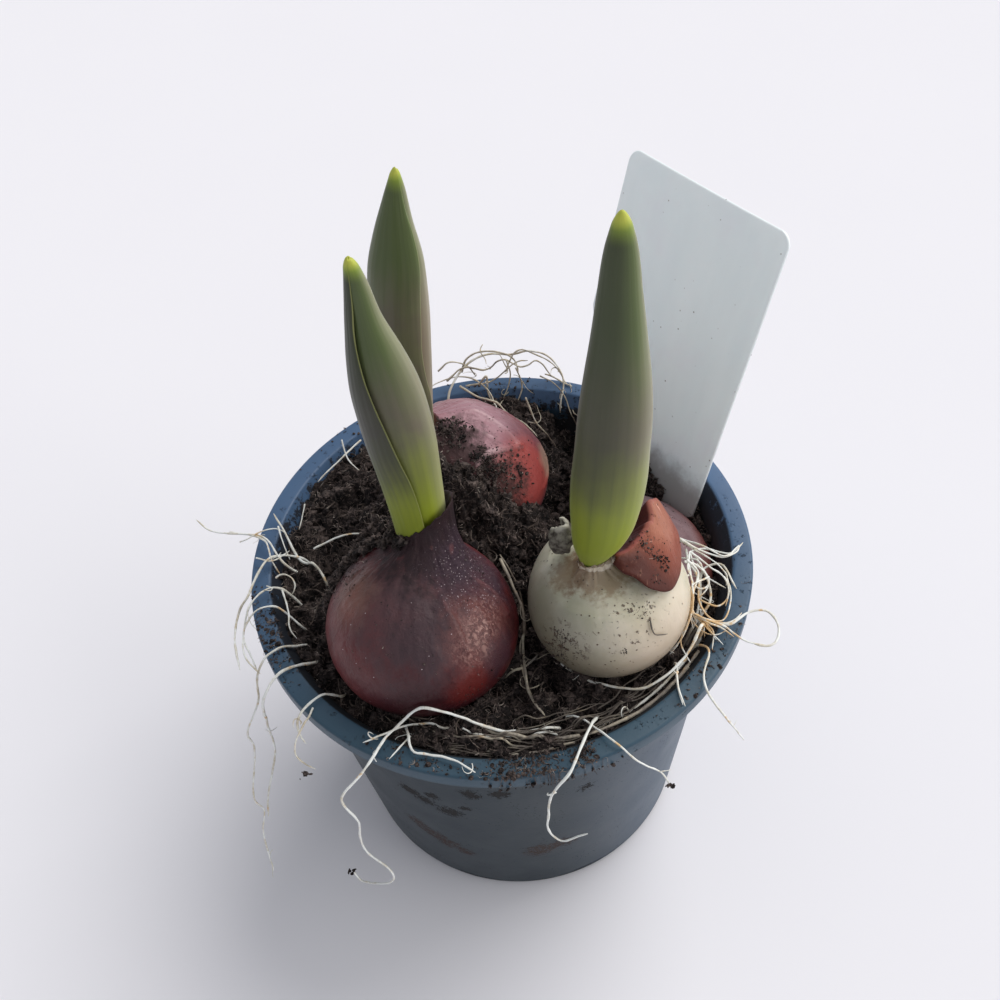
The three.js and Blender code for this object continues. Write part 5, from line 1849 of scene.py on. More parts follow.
@dataclass
class LeafSpear:
    """Closed spear of two rolled leaves: the outer leaf wraps round the inner one up to its margins."""

    name: str
    foot: Point
    tip: Point
    bow: tuple[float, float]
    half_widths: tuple
    wraps_from: float
    seam: tuple
    depth: float = 0.82
    thickness: float = 1.1
    gap: float = 0.3
    blush: float = 0.6
    lime: float = 0.2
    tip_from: float = 0.952
    tip_end: float = 0.985
    foot_shift: float = 0.0
    tip_shift: float = 0.0
    strip: Optional[Colour] = None
    shade: float = 0.62
    rows: int = 150
    columns: int = 110
    around: int = 96

    def _centre(self, t: Array) -> Array:
        """Centre line: foot + (tip - foot) t, plus the bow times sin(pi t), moved aside at the foot."""
        foot, tip = np.array(self.foot), np.array(self.tip)
        bow = np.array([*self.bow, 0.0])
        aside = self.foot_shift * (1 - smooth(0, 0.17, t)) + self.tip_shift * smooth(0.78, 1.0, t)
        aside = np.stack([aside, 0 * aside, 0 * aside], axis=-1)
        return foot + (tip - foot) * t[..., None] + bow * np.sin(np.pi * t)[..., None] + aside

    def _width(self, t: Array) -> Array:
        """Half width: a smooth curve through the given ones, closed by a quarter of an ellipse at the tip.

        Args:
            t: Place from foot to tip.

        Returns:
            Half width at each place.
        """
        end = np.clip((t - self.tip_from) / (self.tip_end - self.tip_from), 0, 1)
        return along(self.half_widths, t) * np.sqrt(1 - end**2)

    def section(self, z: Array) -> tuple[Array, Array]:
        """Middle and half width of the spear at a height.

        Args:
            z: Heights.

        Returns:
            The centre line's point and the half width at each height.
        """
        t = np.clip((z - self.foot[2]) / (self.tip[2] - self.foot[2]), 0, 1)
        return self._centre(t), self._width(t)

    def _point(self, t: Array, angle: Array, inset: Array) -> Array:
        """Point of the section: (w sin a, -w depth cos a) round the centre line, w = half width - inset.

        Args:
            t: Place from foot to tip.
            angle: Angle from the viewer's side, to the right positive.
            inset: How far it lies under the outer skin.

        Returns:
            The points.
        """
        width = np.maximum(self._width(t) - inset, 0)
        offset = np.stack([width * np.sin(angle), -width * self.depth * np.cos(angle), 0 * width], axis=-1)
        return self._centre(t) + offset

    def _steps(self, count: int) -> Array:
        """Places from foot to tip, closer together towards the tip: sin(pi s / 2) at even steps of s."""
        return np.sin(np.pi / 2 * np.linspace(0, 1, count)) * self.tip_end

    def _span(self) -> tuple[float, float]:
        """Heights of the foot and of the tip."""
        return self.foot[2], self.foot[2] + (self.tip[2] - self.foot[2]) * self.tip_end

    def _ribs(self, t: Array, angle: Array) -> Array:
        """Fine lengthwise ribs: small waves round the section that fade towards foot and tip."""
        fade = smooth(0.02, 0.15, t) * (1 - smooth(0.85, 1.0, t))
        return fade * (0.012 * np.cos(23 * angle) + 0.010 * np.cos(37 * angle + 2))

    def build(self) -> list[bpy.types.Object]:
        """Build both leaves.

        Returns:
            The outer and the inner leaf.
        """
        return [self._outer(), self._inner()]

    def _outer(self) -> bpy.types.Object:
        """Outer leaf: a sheet from one margin to the other, one thickness deep, thinned at its margins."""
        t = self._steps(self.rows)[:, None]
        share = np.linspace(0, 1, self.columns)[None, :]
        share = share - 0.06 * np.sin(2 * np.pi * share)
        start = math.radians(self.wraps_from)
        angle = start + (np.radians(along(self.seam, t)) - start) * share
        t = t + 0 * share
        ribs = self._ribs(t, angle)
        margin = np.minimum(share, 1 - share) / 0.04
        thin = np.sqrt(np.clip(margin, 0.04, 1))
        wide = self.thickness * (1 - 0.75 * t**6)
        lip = 0.35 * (1 - thin) * (1 - smooth(0.85, 0.95, t))
        front = self._point(t, angle, -ribs + lip)
        back = self._point(t * 0.985, angle, lip + wide * thin)
        name = f"{self.name}_outer_leaf"
        turn = (start, math.radians(self.seam[len(self.seam) // 2]) - start)
        skin = LeafSkin(
            LeafPart.OUTER, self._span(), turn, self.blush, self.lime, f"leaf_green_{self.name}",
            shade=self.shade,
        )
        piece = make_piece(f"fine_{name}", thin_sheet(front, back), skin.material())
        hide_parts(name)
        return piece

    def _inner(self) -> bpy.types.Object:
        """Inner leaf: a closed roll under the outer leaf."""
        shorter = 0.992
        t = (self._steps(self.rows)[:-1] * shorter)[:, None]
        angle = circle(self.around)[None, :]
        t = t + 0 * angle
        inset = (self.thickness + self.gap) * (1 - 0.8 * t**6) - self._ribs(t, angle)
        rings = self._point(t, angle, inset * (1 - smooth(0.80, 0.95, t) * 0.75))
        ends = self._centre(np.array([0.0, self.tip_end * shorter]))
        name = f"{self.name}_inner_leaf"
        turn = (0.0, 2 * math.pi)
        skin = LeafSkin(
            LeafPart.INNER, self._span(), turn, self.blush * 0.8, self.lime, f"leaf_inner_{self.name}",
            grey=self.strip or LeafSkin.grey, dusk=self.strip or LeafSkin.dusk, shade=self.shade * 0.4,
        )
        piece = make_piece(f"fine_{name}", closed_skin(rings, ends[0], ends[1]), skin.material())
        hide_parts(name)
        return piece


# Label


@dataclass
class StakeLabel:
    """Bare white plastic label with rounded corners, whose foot narrows to a stake in the peat."""

    entry: Point = (50.6, 9.8, 90.3)
    width_way: Point = (-0.511, 0.859, -0.036)
    up_way: Point = (0.26, 0.185, 0.95)
    width: float = 51.5
    top: float = 72.0
    viewer: Point = (0.0, -154.7, 292.8)
    thickness: float = 0.8
    corner: float = 3.5
    left_edge: tuple = ((-35, 24), (-28, 27), (-10, 28), (2, 32), (20, 47), (30, 51.5), (72, 51.5))
    right_edge: tuple = ((-35, 23), (-28, 21), (-14, 15), (-4, 0), (72, 0))

    def build(self) -> bpy.types.Object:
        """Build the label: rows from the stake's point to the top, each from its right to its left edge.

        Its faces stand half a thickness off the middle plane, less in a round at its edges, and the
        middle plane has a slight bend.

        Returns:
            The label.
        """
        up = np.concatenate([np.linspace(-35, 66, 130), self.top - 6 * (1 - np.linspace(0.02, 1, 30)) ** 1.6])
        left = np.interp(up, *np.array(self.left_edge).T)
        right = np.interp(up, *np.array(self.right_edge).T)
        over = np.clip((up - (self.top - self.corner)) / self.corner, 0, 1)
        cut = self.corner * (1 - np.sqrt(1 - over**2))
        left, right = (left - cut)[:, None], (right + cut)[:, None]
        share = (0.5 - 0.5 * np.cos(np.pi * np.linspace(0, 1, 60)))[None, :]
        across = left + (right - left) * share
        ends = np.minimum(np.minimum(across - right, left - across), (self.top - up)[:, None])
        half = self.thickness / 2 * np.sqrt(np.clip(1 - (1 - np.clip(ends / 0.35, 0, 1)) ** 2, 0.02, 1))
        x = unit(np.array(self.width_way))
        z = unit(np.cross(x, self.up_way))
        y = np.cross(z, x)
        bend = 0.35 * np.sin(np.pi * np.clip(across / self.width, 0, 1)) * smooth(0, 50, up)[:, None]
        middle = np.array(self.entry) + across[..., None] * x + up[:, None, None] * y - bend[..., None] * z
        front, back = middle + half[..., None] * z, middle - half[..., None] * z
        facing = (np.array(self.viewer) - np.array(self.entry)) @ z > 0
        shell = thin_sheet(back[:, ::-1], front[:, ::-1]) if facing else thin_sheet(front, back)
        piece = make_piece("stake_label", shell, LabelPlastic().material())
        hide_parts("label")
        return piece


# Roots


@dataclass
class RootBunch:
    """Thin roots that meet at a point in the peat, each led through its own points, with side hairs."""

    name: str
    buried: Point
    strands: tuple
    seed: int
    age: float = 0.0
    radius: float = 0.34
    clearance: float = 0.6
    hairs: int = 1
    loose: bool = False
    # Steps along a root while it is led, and when it is done.
    coarse_step: float = 2.4
    fine_step: float = 0.7
    # Beyond this radius a root is over the pot, and no longer held up by the peat.
    peat_edge: float = 51.0

    def _curve(self, points: Array, count: int) -> Array:
        """Evenly spaced points on a centripetal Catmull-Rom curve.

        Args:
            points: Points that the curve runs through.
            count: How many points are wanted.

        Returns:
            Points at even steps of length.
        """
        whole = np.concatenate([[2 * points[0] - points[1]], points, [2 * points[-1] - points[-2]]])
        a, b, c, d = whole[:-3], whole[1:-2], whole[2:-1], whole[3:]
        step = [np.linalg.norm(q - p, axis=1, keepdims=True) ** 0.5 for p, q in ((a, b), (b, c), (c, d))]
        out = ((b - a) / step[0] - (c - a) / (step[0] + step[1]) + (c - b) / step[1]) * step[1]
        back = ((c - b) / step[1] - (d - b) / (step[1] + step[2]) + (d - c) / step[2]) * step[1]
        t = np.linspace(0, 1, 60, endpoint=False)[None, :, None]
        b, c, out, back = b[:, None], c[:, None], out[:, None], back[:, None]
        fine = b + out * t + (3 * (c - b) - 2 * out - back) * t**2 + (2 * (b - c) + out + back) * t**3
        fine = np.concatenate([fine.reshape(-1, 3), points[-1:]])
        length = np.concatenate([[0], np.cumsum(steps_of(fine))])
        at = np.linspace(0, length[-1], count)
        return np.stack([np.interp(at, length, fine[:, k]) for k in range(3)], axis=-1)

    def _led(self, points: tuple, peat: Peat, pot: GrowersPot, bulbs: Sequence[TulipBulb]) -> Array:
        """Path of a root: its curve, lifted to the peat, and moved off the bulbs and the pot.

        Args:
            points: The root's own points.
            peat: The peat it lies on.
            pot: The pot it hangs over.
            bulbs: The bulbs it runs past.

        Returns:
            Points along the root.
        """
        start, buried = np.array(points[0], dtype=float), np.array(self.buried, dtype=float)
        under = start + (buried - start) * 0.3
        under[2] = start[2] - 3.5
        rough = np.concatenate([[buried], [under], np.array(points, dtype=float)])
        if self.loose:
            buried = under = start
            rough = rough[2:]
        length = np.sum(steps_of(rough))
        count = max(8, int(math.ceil(length / self.coarse_step)))
        path = self._curve(rough, count + 1)
        hidden = np.linalg.norm(buried - under) + np.linalg.norm(under - start) + 2
        over_peat = np.hypot(path[:, 0], path[:, 1]) < self.peat_edge
        lying = (np.arange(count + 1) / count * length > hidden) & over_peat
        ground = peat.smooth_height(path[:, 0], path[:, 1]) + (2.0 if self.loose else 1.4)
        path[:, 2] = np.where(lying, np.maximum(path[:, 2], ground), path[:, 2])
        for bulb in bulbs:
            path = self._off_bulb(path, bulb)
        path = self._off_pot(path, pot)
        return self._curve(path, max(40, int(length / self.fine_step)))

    def _off_bulb(self, path: Array, bulb: TulipBulb) -> Array:
        """Path moved square to a bulb's axis until it is one clearance off its outline."""
        s, distance, sideways = bulb.beside(path)
        needed = bulb.outline(s)[0] * 1.012 + self.clearance
        push = np.where((np.abs(s) < 1) & (distance < needed), needed - distance, 0)
        return path + unit(sideways) * push[:, None]

    def _off_pot(self, path: Array, pot: GrowersPot) -> Array:
        """Path moved out of reach of the pot's rim and wall, by the shortest way."""
        radius = np.hypot(path[:, 0], path[:, 1])
        near = self.clearance
        inner = pot.inner(path[:, 2]) - near
        inside = (radius > inner) & (radius < pot.rim_radius + near) & (path[:, 2] < pot.height + near)
        up, out, inwards = pot.height + near - path[:, 2], pot.rim_radius + near - radius, radius - inner
        lift = inside & (up <= out) & (up <= inwards) & (up < pot.skirt)
        aside = inside & ~lift
        target = np.where(out < inwards, pot.rim_radius + near, inner)
        scale = np.where(aside, target / np.maximum(radius, 1e-6), 1)
        z = np.where(lift, pot.height + near, path[:, 2])
        return np.stack([path[:, 0] * scale, path[:, 1] * scale, z], axis=-1)

    def _dress(self, path: Array, radius: float, seed: int) -> Shell:
        """One root along a path: small kinks and knots on it, and a taper to its tip."""
        grain = Grain(seed)
        t = np.linspace(0, 1, len(path))
        length = steps_of(path).sum()
        at = np.stack([t * length, 0 * t, 0 * t], axis=-1)
        kinks = np.stack([grain(at + shift, 3.5, 2) for shift in (5.0, 55.0, 105.0)], axis=-1)
        knots = 1 + 0.18 * grain(at + 200, 1.6, 2)
        taper = (1.08 - 0.4 * t) * np.sqrt(np.clip((1 - t) * length / 1.2, 0.15, 1))
        return thread_bundle((path + 0.13 * kinks)[None], (radius * knots * taper)[None], 8)

    def build(self, peat: Peat, pot: GrowersPot, bulbs: Sequence[TulipBulb]) -> list[bpy.types.Object]:
        """Build the bunch and its side hairs.

        Args:
            peat: The peat it lies on.
            pot: The pot it hangs over.
            bulbs: The bulbs it runs past.

        Returns:
            The pieces.
        """
        paths = [self._led(points, peat, pot, bulbs) for points in self.strands]
        draw = np.random.default_rng(self.seed)
        widths = self.radius * draw.uniform(0.7, 1.1, len(paths))
        threads = [self._dress(path, widths[k], self.seed * 40 + k) for k, path in enumerate(paths)]
        material = RootSkin().material(f"root_pale_{self.name}", self.age)
        piece = make_piece(f"fine_{self.name}", Shell.joined(threads), material)
        if not self.loose:
            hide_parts(self.name)
        pieces = [piece]
        if self.hairs:
            pieces.append(self._side_hairs(paths, material, draw))
        return pieces

    def _side_hairs(
        self, paths: list, material: bpy.types.Material, draw: np.random.Generator,
    ) -> bpy.types.Object:
        """Hair-thin side roots that leave the strands above the peat."""
        chosen = [path[draw.integers(len(path) // 3, len(path), self.hairs)] for path in paths]
        lengths, thickness, steps, lift = (3, 11), (0.09, 0.2), 14, 0.3
        starts = np.concatenate(chosen)
        hairs, radii = curled_fibres(starts, self.seed + 7, lengths, thickness, steps, lift)
        rim, lowest = 60.8, 91.0
        within = np.hypot(hairs[..., 0], hairs[..., 1]) < rim
        hairs[..., 2] = np.where(within, np.maximum(hairs[..., 2], lowest), hairs[..., 2])
        piece = make_piece(f"hairs_{self.name}", thread_bundle(hairs, radii, 4), material)
        return piece


# Stage


@dataclass
class Studio:
    """Pale floor, soft light from the upper right and back, and the camera."""

    place: Point = (0.0, -0.15468, 0.29281)
    # Elevation, roll, tilt and pan in degrees.
    angles: tuple[float, float, float, float] = (51.94, -6.51, -2.524, -0.354)
    lens: float = 37.44
    floor_half: float = 3.0
    sky: Colour = (0.90, 0.925, 0.985, 1.0)
    sky_strength: float = 0.46

    def _aim(self) -> Array:
        """Camera directions (right, down, forward), from its elevation and three small turns.

        The view starts level towards +Y, dips by the elevation, then turns by the pan and tilt of the
        photograph's frame and by its roll.

        Returns:
            The three directions as rows.
        """
        dip, roll, tilt, pan = (math.radians(angle) for angle in self.angles)
        forward = np.array([0, math.cos(dip), -math.sin(dip)])
        right = np.array([1.0, 0, 0])
        level = np.stack([right, np.cross(forward, right), forward])
        turns = ((roll, "Z"), (tilt, "X"), (pan, "Y"))
        about_z, about_x, about_y = (np.array(Matrix.Rotation(angle, 3, axis)) for angle, axis in turns)
        return about_z @ about_x @ about_y @ level

    def build(self) -> None:
        """Build the camera, the floor and the lights."""
        self._camera()
        self._floor()
        self._lights()

    def _camera(self) -> None:
        """Camera at the photograph's viewing angle."""
        right, down, forward = self._aim()
        matrix = np.eye(4)
        matrix[:3, :3] = np.stack([right, -down, -forward], axis=1)
        matrix[:3, 3] = self.place
        camera = bpy.data.cameras.new("view")
        camera.lens = self.lens
        camera.sensor_width = 36.0
        camera.clip_start = 0.01
        seen = bpy.data.objects.new("view", camera)
        seen.matrix_world = Matrix(matrix.tolist())
        bpy.context.scene.collection.objects.link(seen)
        bpy.context.scene.camera = seen

    def _floor(self) -> None:
        """Wide pale floor, level with the pot's base."""
        f = FinishTree("floor_pale")
        colour = f.mix(f.noise(90, 2, 0.5) * 0.3, tone(236, 235, 240), tone(230, 229, 235))
        material = f.close(colour, Roughness=0.8, Specular_IOR_Level=0.2)
        half = self.floor_half
        corners = [(-half, -half, 0), (half, -half, 0), (half, half, 0), (-half, half, 0)]
        mesh = bpy.data.meshes.new("floor")
        mesh.from_pydata(corners, [], [(0, 1, 2, 3)])
        mesh.materials.append(material)
        floor = bpy.data.objects.new("floor", mesh)
        bpy.context.scene.collection.objects.link(floor)

    def _lights(self) -> None:
        """Pale surroundings, a soft sun from the back right and a low, very soft one from the right."""
        world = bpy.data.worlds.new("pale_room")
        world.use_nodes = True
        sky = world.node_tree.nodes["Background"].inputs
        sky["Color"].default_value = self.sky
        sky["Strength"].default_value = self.sky_strength
        bpy.context.scene.world = world
        self._sun("key", (0.42, 0.36, 0.68), 42.0, 1.95, (1.0, 0.98, 0.95))
        self._sun("window", (0.86, -0.18, 0.36), 60.0, 1.35, (1.0, 0.97, 0.92))
        bpy.context.scene.view_settings.view_transform = "Standard"

    def _sun(self, name: str, towards: Point, angle: float, strength: float, colour: Point) -> None:
        """Sun with a wide disc, which gives soft shadows.

        Args:
            name: The lamp's name.
            towards: Way to the sun.
            angle: Width of its disc in degrees.
            strength: Its strength.
            colour: Its colour.
        """
        light = bpy.data.lights.new(name, "SUN")
        light.angle = math.radians(angle)
        light.energy = strength
        light.color = colour
        lamp = bpy.data.objects.new(name, light)
        lamp.rotation_euler = Vector(towards).to_track_quat("Z", "Y").to_euler()
        bpy.context.scene.collection.objects.link(lamp)


# The whole plant


@dataclass
class PottedBulbs:
    """The pot with all that stands in it."""

    pot: GrowersPot = field(default_factory=GrowersPot)
    bulbs: tuple = (
        TulipBulb(
            "bulb_1", centre=(-18.8, -22.8, 100.4), radius=21.6, neck=(-15.9, -15.6, 122.5), neck_radius=6.8,
            depth=0.93, shoulder=1.05, flat=0.02, flat_angle=60, folds=0.8, wrinkles=0.28, ragged=0.6,
            seed=41, collar=(126, 4.5, -1.2), pinch=0.14, creases=(
                (((-13.9, -20.8, 123.9), (-13.8, -23.3, 123.3), (-13.4, -27.6, 120.8),
                  (-12.1, -31.6, 117.9), (-10.5, -35.4, 114.5), (-9.1, -38.2, 110.9)), 0.5, 0.8),
                (((-10.5, -17.8, 122.5), (-9.1, -22.2, 120.9), (-5.3, -24.2, 116.6), (-2, -26, 112.1),
                  (0, -27.9, 107.9)), 0.65, 0.9),
                (((-19, -18.4, 123.8), (-19.5, -23.5, 123.6), (-19.1, -27.4, 121.6), (-18.3, -31.7, 119.3)),
                 0.4, 0.7),
                (((-9.9, -21.9, 121.8), (-7.7, -24.9, 118.7), (-6, -28.1, 115.1)), 0.4, 0.6),
                (((-16.6, -19.7, 123.9), (-16.7, -24.4, 123.3), (-16.2, -28.9, 120.7), (-15, -32.8, 118.1)),
                 -0.45, 0.7),
                (((-15.3, -38.9, 113.3), (-14.3, -40.8, 110.5), (-12.7, -42.3, 106.6),
                  (-11.4, -42.6, 102.8)), 0.3, 0.7),
            ),
        ),
        TulipBulb(
            "bulb_2", centre=(22.6, -23.4, 103.7), radius=18, neck=(21.2, -24.3, 119.5), neck_radius=4.2,
            depth=1.02, shoulder=0.62, flat=0, flat_angle=0, folds=0.3, wrinkles=0.05, ragged=1.1,
            seed=42, collar=(120.6, 0.9, 0.2), pinch=0, creases=(
                (((24, -31.6, 120.6), (25.6, -34.2, 118.9), (28, -36, 117), (31, -36.3, 115.6),
                  (34.4, -34.9, 114.2), (36.6, -32.3, 113.4), (38, -29, 112.6)), 0.8, 0.8),
                (((14, -20.7, 117.6), (14.6, -23, 118.1), (15.8, -25.3, 118.6), (17.4, -27, 119),
                  (19.6, -27.9, 119.3), (21.5, -27.4, 119.5), (23, -26.2, 119.7)), 1, 0.6),
                (((21, -27, 119.6), (22.6, -26, 119.9), (23.4, -24.8, 120.1)), 0.9, 0.7),
                (((13.5, -31.5, 114.8), (18.5, -34.5, 115.4), (22.5, -34.2, 117.2)), -0.35, 1.6),
            ),
        ),
        TulipBulb(
            "bulb_3", centre=(-3.3, 27.9, 88.2), radius=19.1, neck=(-16.1, 26.7, 112.4), neck_radius=6.9,
            depth=0.78, shoulder=0.66, flat=0, flat_angle=0, folds=0.7, wrinkles=0.2, ragged=0.6,
            seed=43, collar=(113.5, 0.5, -0.5), pinch=0.08, creases=(
                (((-4.3, 30.8, 113.6), (-0.1, 29.8, 111.5), (3.7, 27.1, 109), (6.3, 24.8, 106.3),
                  (8.1, 23.8, 104.2)), 0.5, 0.8),
                (((8.1, 23.8, 104.2), (4.2, 20.8, 106.9), (0.5, 18.8, 108.6), (-1.6, 17.1, 108.6),
                  (-2.8, 15.8, 107.7)), 0.75, 0.8),
                (((3, 36, 107.5), (9.5, 34.7, 100.4), (13.2, 31.5, 96.4), (14.9, 27.5, 93.4),
                  (14.4, 23.5, 92.6), (12.9, 19.5, 92.6)), 0.5, 0.5),
                (((-7, 24.5, 113.6), (-2.5, 24, 111.6), (1.5, 22.5, 109.6)), 0.4, 0.8),
            ),
        ),
        TulipBulb(
            "bulb_4", centre=(35.4, -2.4, 84), radius=19.4, neck=(40, -4.2, 95.6), neck_radius=2.4,
            depth=0.9, shoulder=0.72, flat=0.28, flat_angle=240, folds=0.5, wrinkles=0.15, ragged=0.4,
            seed=44,
        ),
    )
    spears: tuple = (
        LeafSpear(
            "shoot_1", foot=(-15, -13.6, 119), tip=(-20, -10.5, 191), bow=(1.1, 0.3),
            half_widths=(6.4, 6.5, 6.8, 7.2, 7.6, 7.6, 7.2, 5.9, 4.1, 2.45, 1), wraps_from=-195,
            seam=(6, 4, 3, -1, -9, -16, -24, -34, -40, -30, -24), blush=0.8, lime=0.36,
            tip_from=0.957, tip_end=0.99, tip_shift=0.6, shade=0.85,
        ),
        LeafSpear(
            "shoot_2", foot=(-17.5, 26.3, 109.7), tip=(-11.6, 23.6, 186.4), bow=(-0.6, 0.3),
            half_widths=(5.8, 6.4, 6.8, 7.1, 7.3, 7.4, 7.1, 6.4, 4.65, 2.5, 0.5), wraps_from=-175,
            seam=(60, 56, 50, 38, 32, 33, 37, 44, 46, 36, 30), blush=0.75, lime=0.05,
            tip_from=0.958, tip_end=0.981, tip_shift=0.25, strip=tone(140, 124, 108), shade=0.3,
        ),
        LeafSpear(
            "shoot_3", foot=(20, -25, 117.4), tip=(23.2, -25.1, 205), bow=(1.6, 0.3),
            half_widths=(2.2, 5.5, 6.9, 7.3, 7, 6.7, 5.9, 4.8, 3.75, 2.7, 0.8), wraps_from=-158,
            seam=(176, 176, 176, 176, 177, 177, 177, 177, 178, 178, 178), blush=0.35, lime=0.36,
            tip_from=0.95, tip_end=0.981, foot_shift=-1.1, tip_shift=0.3, shade=0.68,
        ),
    )

    def build(self) -> None:
        """Build every sub-assembly in order and report each piece."""
        peat = Peat(self.pot, bulbs=self.bulbs)
        self._report(self.pot.build())
        for piece in peat.build():
            self._report(piece)
        skins = (
            (MaroonTunic().material(), "tunic_maroon"), (CreamScale().material(), "scale_cream"),
            (PinkTunic().material(), "tunic_pink"), (MauveTunic().material(), "tunic_mauve"),
        )
        first, second, third = self.spears
        carriers: dict[str, bpy.types.Object] = {}
        for bulb, (material, slot), spear in zip(self.bulbs, skins, (first, third, second, None)):
            carriers[bulb.name] = bulb.build(self.pot, material, slot, spear)
            self._report(carriers[bulb.name])
        carriers["flap"] = TunicFlap().build()
        self._report(carriers["flap"])
        self._report(DriedHusk().build())
        for spear in self.spears:
            for piece in spear.build():
                self._report(piece)
        self._report(StakeLabel().build())
        for bunch in (*root_bunches(), *loose_tangles()):
            for piece in bunch.build(peat, self.pot, self.bulbs):
                self._report(piece)
        for piece in StrayEarth(self.pot).build(carriers):
            self._report(piece)

    def _report(self, piece: bpy.types.Object) -> None:
        """Log a finished piece."""
        LOG.info("%s: %d faces", piece.name, len(piece.data.polygons))


def root_bunches() -> tuple[RootBunch, ...]:
    """The bunches of roots, each with the points that its roots are led through."""
    left = RootBunch("roots_left", (-44, -12, 81), (
        ((-42, -4, 86), (-44, 1, 90), (-49, 5, 93), (-52, 11, 96), (-55, 17, 97)),
        ((-47, 0, 90), (-52, 2, 95.6), (-57, 9, 98), (-64, 11, 98), (-71, 14, 97), (-75, 19, 96)),
        ((-48, -8, 90), (-52, -6, 96), (-55, -6, 97), (-59, -10, 97), (-61, -15, 94), (-60.5, -22, 93),
         (-57, -26, 92)),
        ((-48, -14, 91), (-53, -11, 95.8), (-57, -12, 97.4), (-61, -16, 94), (-59.5, -21, 92.5),
         (-58, -24.5, 91)),
        ((-47, 5, 91), (-55, 3, 97), (-60, -8, 97), (-62.5, -10, 94), (-63.5, -16, 92.5), (-62, -24, 91.5)),
        ((-47, -19, 91), (-54, -24, 96.6), (-57, -27, 94), (-59, -29, 85), (-63, -33, 78), (-63, -33, 72),
         (-67, -38, 54), (-66, -38, 48), (-68, -40, 41), (-69, -44, 24)),
        ((-44, -24, 91), (-51, -29, 96.4), (-55, -33, 94), (-59, -30, 76), (-61, -29, 60), (-65, -35, 49),
         (-66, -38, 44)),
        ((-38, -33, 90), (-42, -36, 96), (-46, -39.5, 96.5), (-47.5, -42, 94), (-46, -45, 92)),
    ), seed=51, age=0.15)
    front_left = RootBunch("roots_front_left", (-14, -43, 82), (
        ((9, -48, 91.5), (-1, -49, 93.5), (-8, -47.5, 96), (-12.4, -46.4, 98.8), (-17.6, -45.6, 101.5),
         (-20, -45, 101.5), (-25.3, -46.5, 98), (-28, -48.5, 97), (-31, -53, 97), (-34, -55.5, 95),
         (-38, -58, 92), (-38.5, -58, 88), (-37, -58, 80), (-38, -58, 64), (-33.5, -60, 55),
         (-33.5, -60, 50), (-36, -59, 45), (-43, -56, 41), (-44, -55, 45)),
        ((-24, -43, 90), (-23.5, -47.5, 95.5), (-22.5, -52, 96.4), (-19, -53, 96.2), (-14, -55, 96.2),
         (-10, -58, 96)),
        ((-13, -46, 90.5), (-16, -45.5, 92.5), (-19, -44, 92.5), (-24, -44.5, 94), (-29, -47.5, 96.4),
         (-33, -48.5, 96.4)),
        ((-22, -45, 91), (-24.5, -49.5, 95.8), (-27.5, -53, 96.2)),
        ((9, -49.5, 90.5), (-1, -50, 92.2), (-8, -49, 92.2), (-14, -45.5, 90.5)),
    ), seed=52, age=0.0)
    front_right = RootBunch("roots_front_right", (16, -42, 82), (
        ((10, -45, 91), (14.5, -48.5, 93.5), (19, -55, 96.4), (23.5, -58, 92.5), (29, -59, 87),
         (30.5, -60.5, 83)),
        ((17, -46, 91), (14.5, -51, 96), (12.5, -55, 96.6), (9, -60, 95), (5, -62.5, 91), (4, -63, 82),
         (4, -63, 74), (6, -64, 71), (12, -65, 75)),
    ), seed=53, age=0.0)
    between = RootBunch("roots_between", (3, -27, 80), (
        ((4.5, -43.5, 90), (3, -38, 91.5), (2, -28, 89.5), (4, -18, 85), (4, -9, 83), (2.5, -4, 86.5),
         (0, 0, 87)),
        ((-3, -33, 89), (2, -32, 90.5), (6, -29.5, 88)),
    ), seed=54, age=0.8, hairs=2)
    right = RootBunch("roots_right", (34, -34, 81), (
        ((42, -31, 92), (42, -32, 101), (38, -37, 98), (32, -41, 95.5), (27, -42, 94), (19, -39, 92.3),
         (15, -36.5, 91.5), (11, -32, 91), (8, -28, 88)),
        ((43, -29, 92), (44, -29, 97), (48, -31.5, 98.6), (53, -29, 98.6), (57, -29, 98.6), (59, -32, 97.6),
         (58, -35.5, 97), (55.5, -37, 96.8), (52, -35.5, 97)),
        ((41, -32, 92), (43, -36, 96.4), (40.5, -42, 96.4), (40.5, -46, 96), (43, -49, 92.5), (46, -50, 87),
         (48, -49.5, 82), (49.5, -49, 78)),
        ((36, -35, 91), (35, -40, 95.6), (34.5, -45, 96.6), (35, -49, 96.6)),
        ((43, -24, 91), (45.5, -16, 94.5), (44.5, -9.5, 96.8), (49, -9.5, 97.2), (53, -11.5, 97.2),
         (57, -8.5, 97)),
        ((44, -24, 90), (46.5, -14, 95.4), (50.5, -14, 97), (52.5, -21, 96.8)),
        ((42, -26, 91), (46, -23, 95.4), (47, -17.5, 95.6), (45.5, -12, 96)),
        ((39, -34, 90.5), (33, -39.5, 91), (27, -44, 91.3), (20, -47.5, 91.4), (14, -50, 90.5)),
    ), seed=55, age=0.1)
    back = RootBunch("roots_back", (4, 44, 82), (
        ((-8, 46, 89), (-9, 53, 96.6), (-2, 59.5, 102), (4, 61, 102.5), (9, 61, 101.5), (14, 60, 103),
         (19.5, 59, 101), (22.5, 54, 97.6), (21, 48, 90)),
        ((4, 46, 89), (2, 53, 96.6), (-4, 58, 98), (-12, 57, 97.6), (-16, 54, 96.8)),
    ), seed=56, age=0.35)
    return left, front_left, front_right, between, right, back


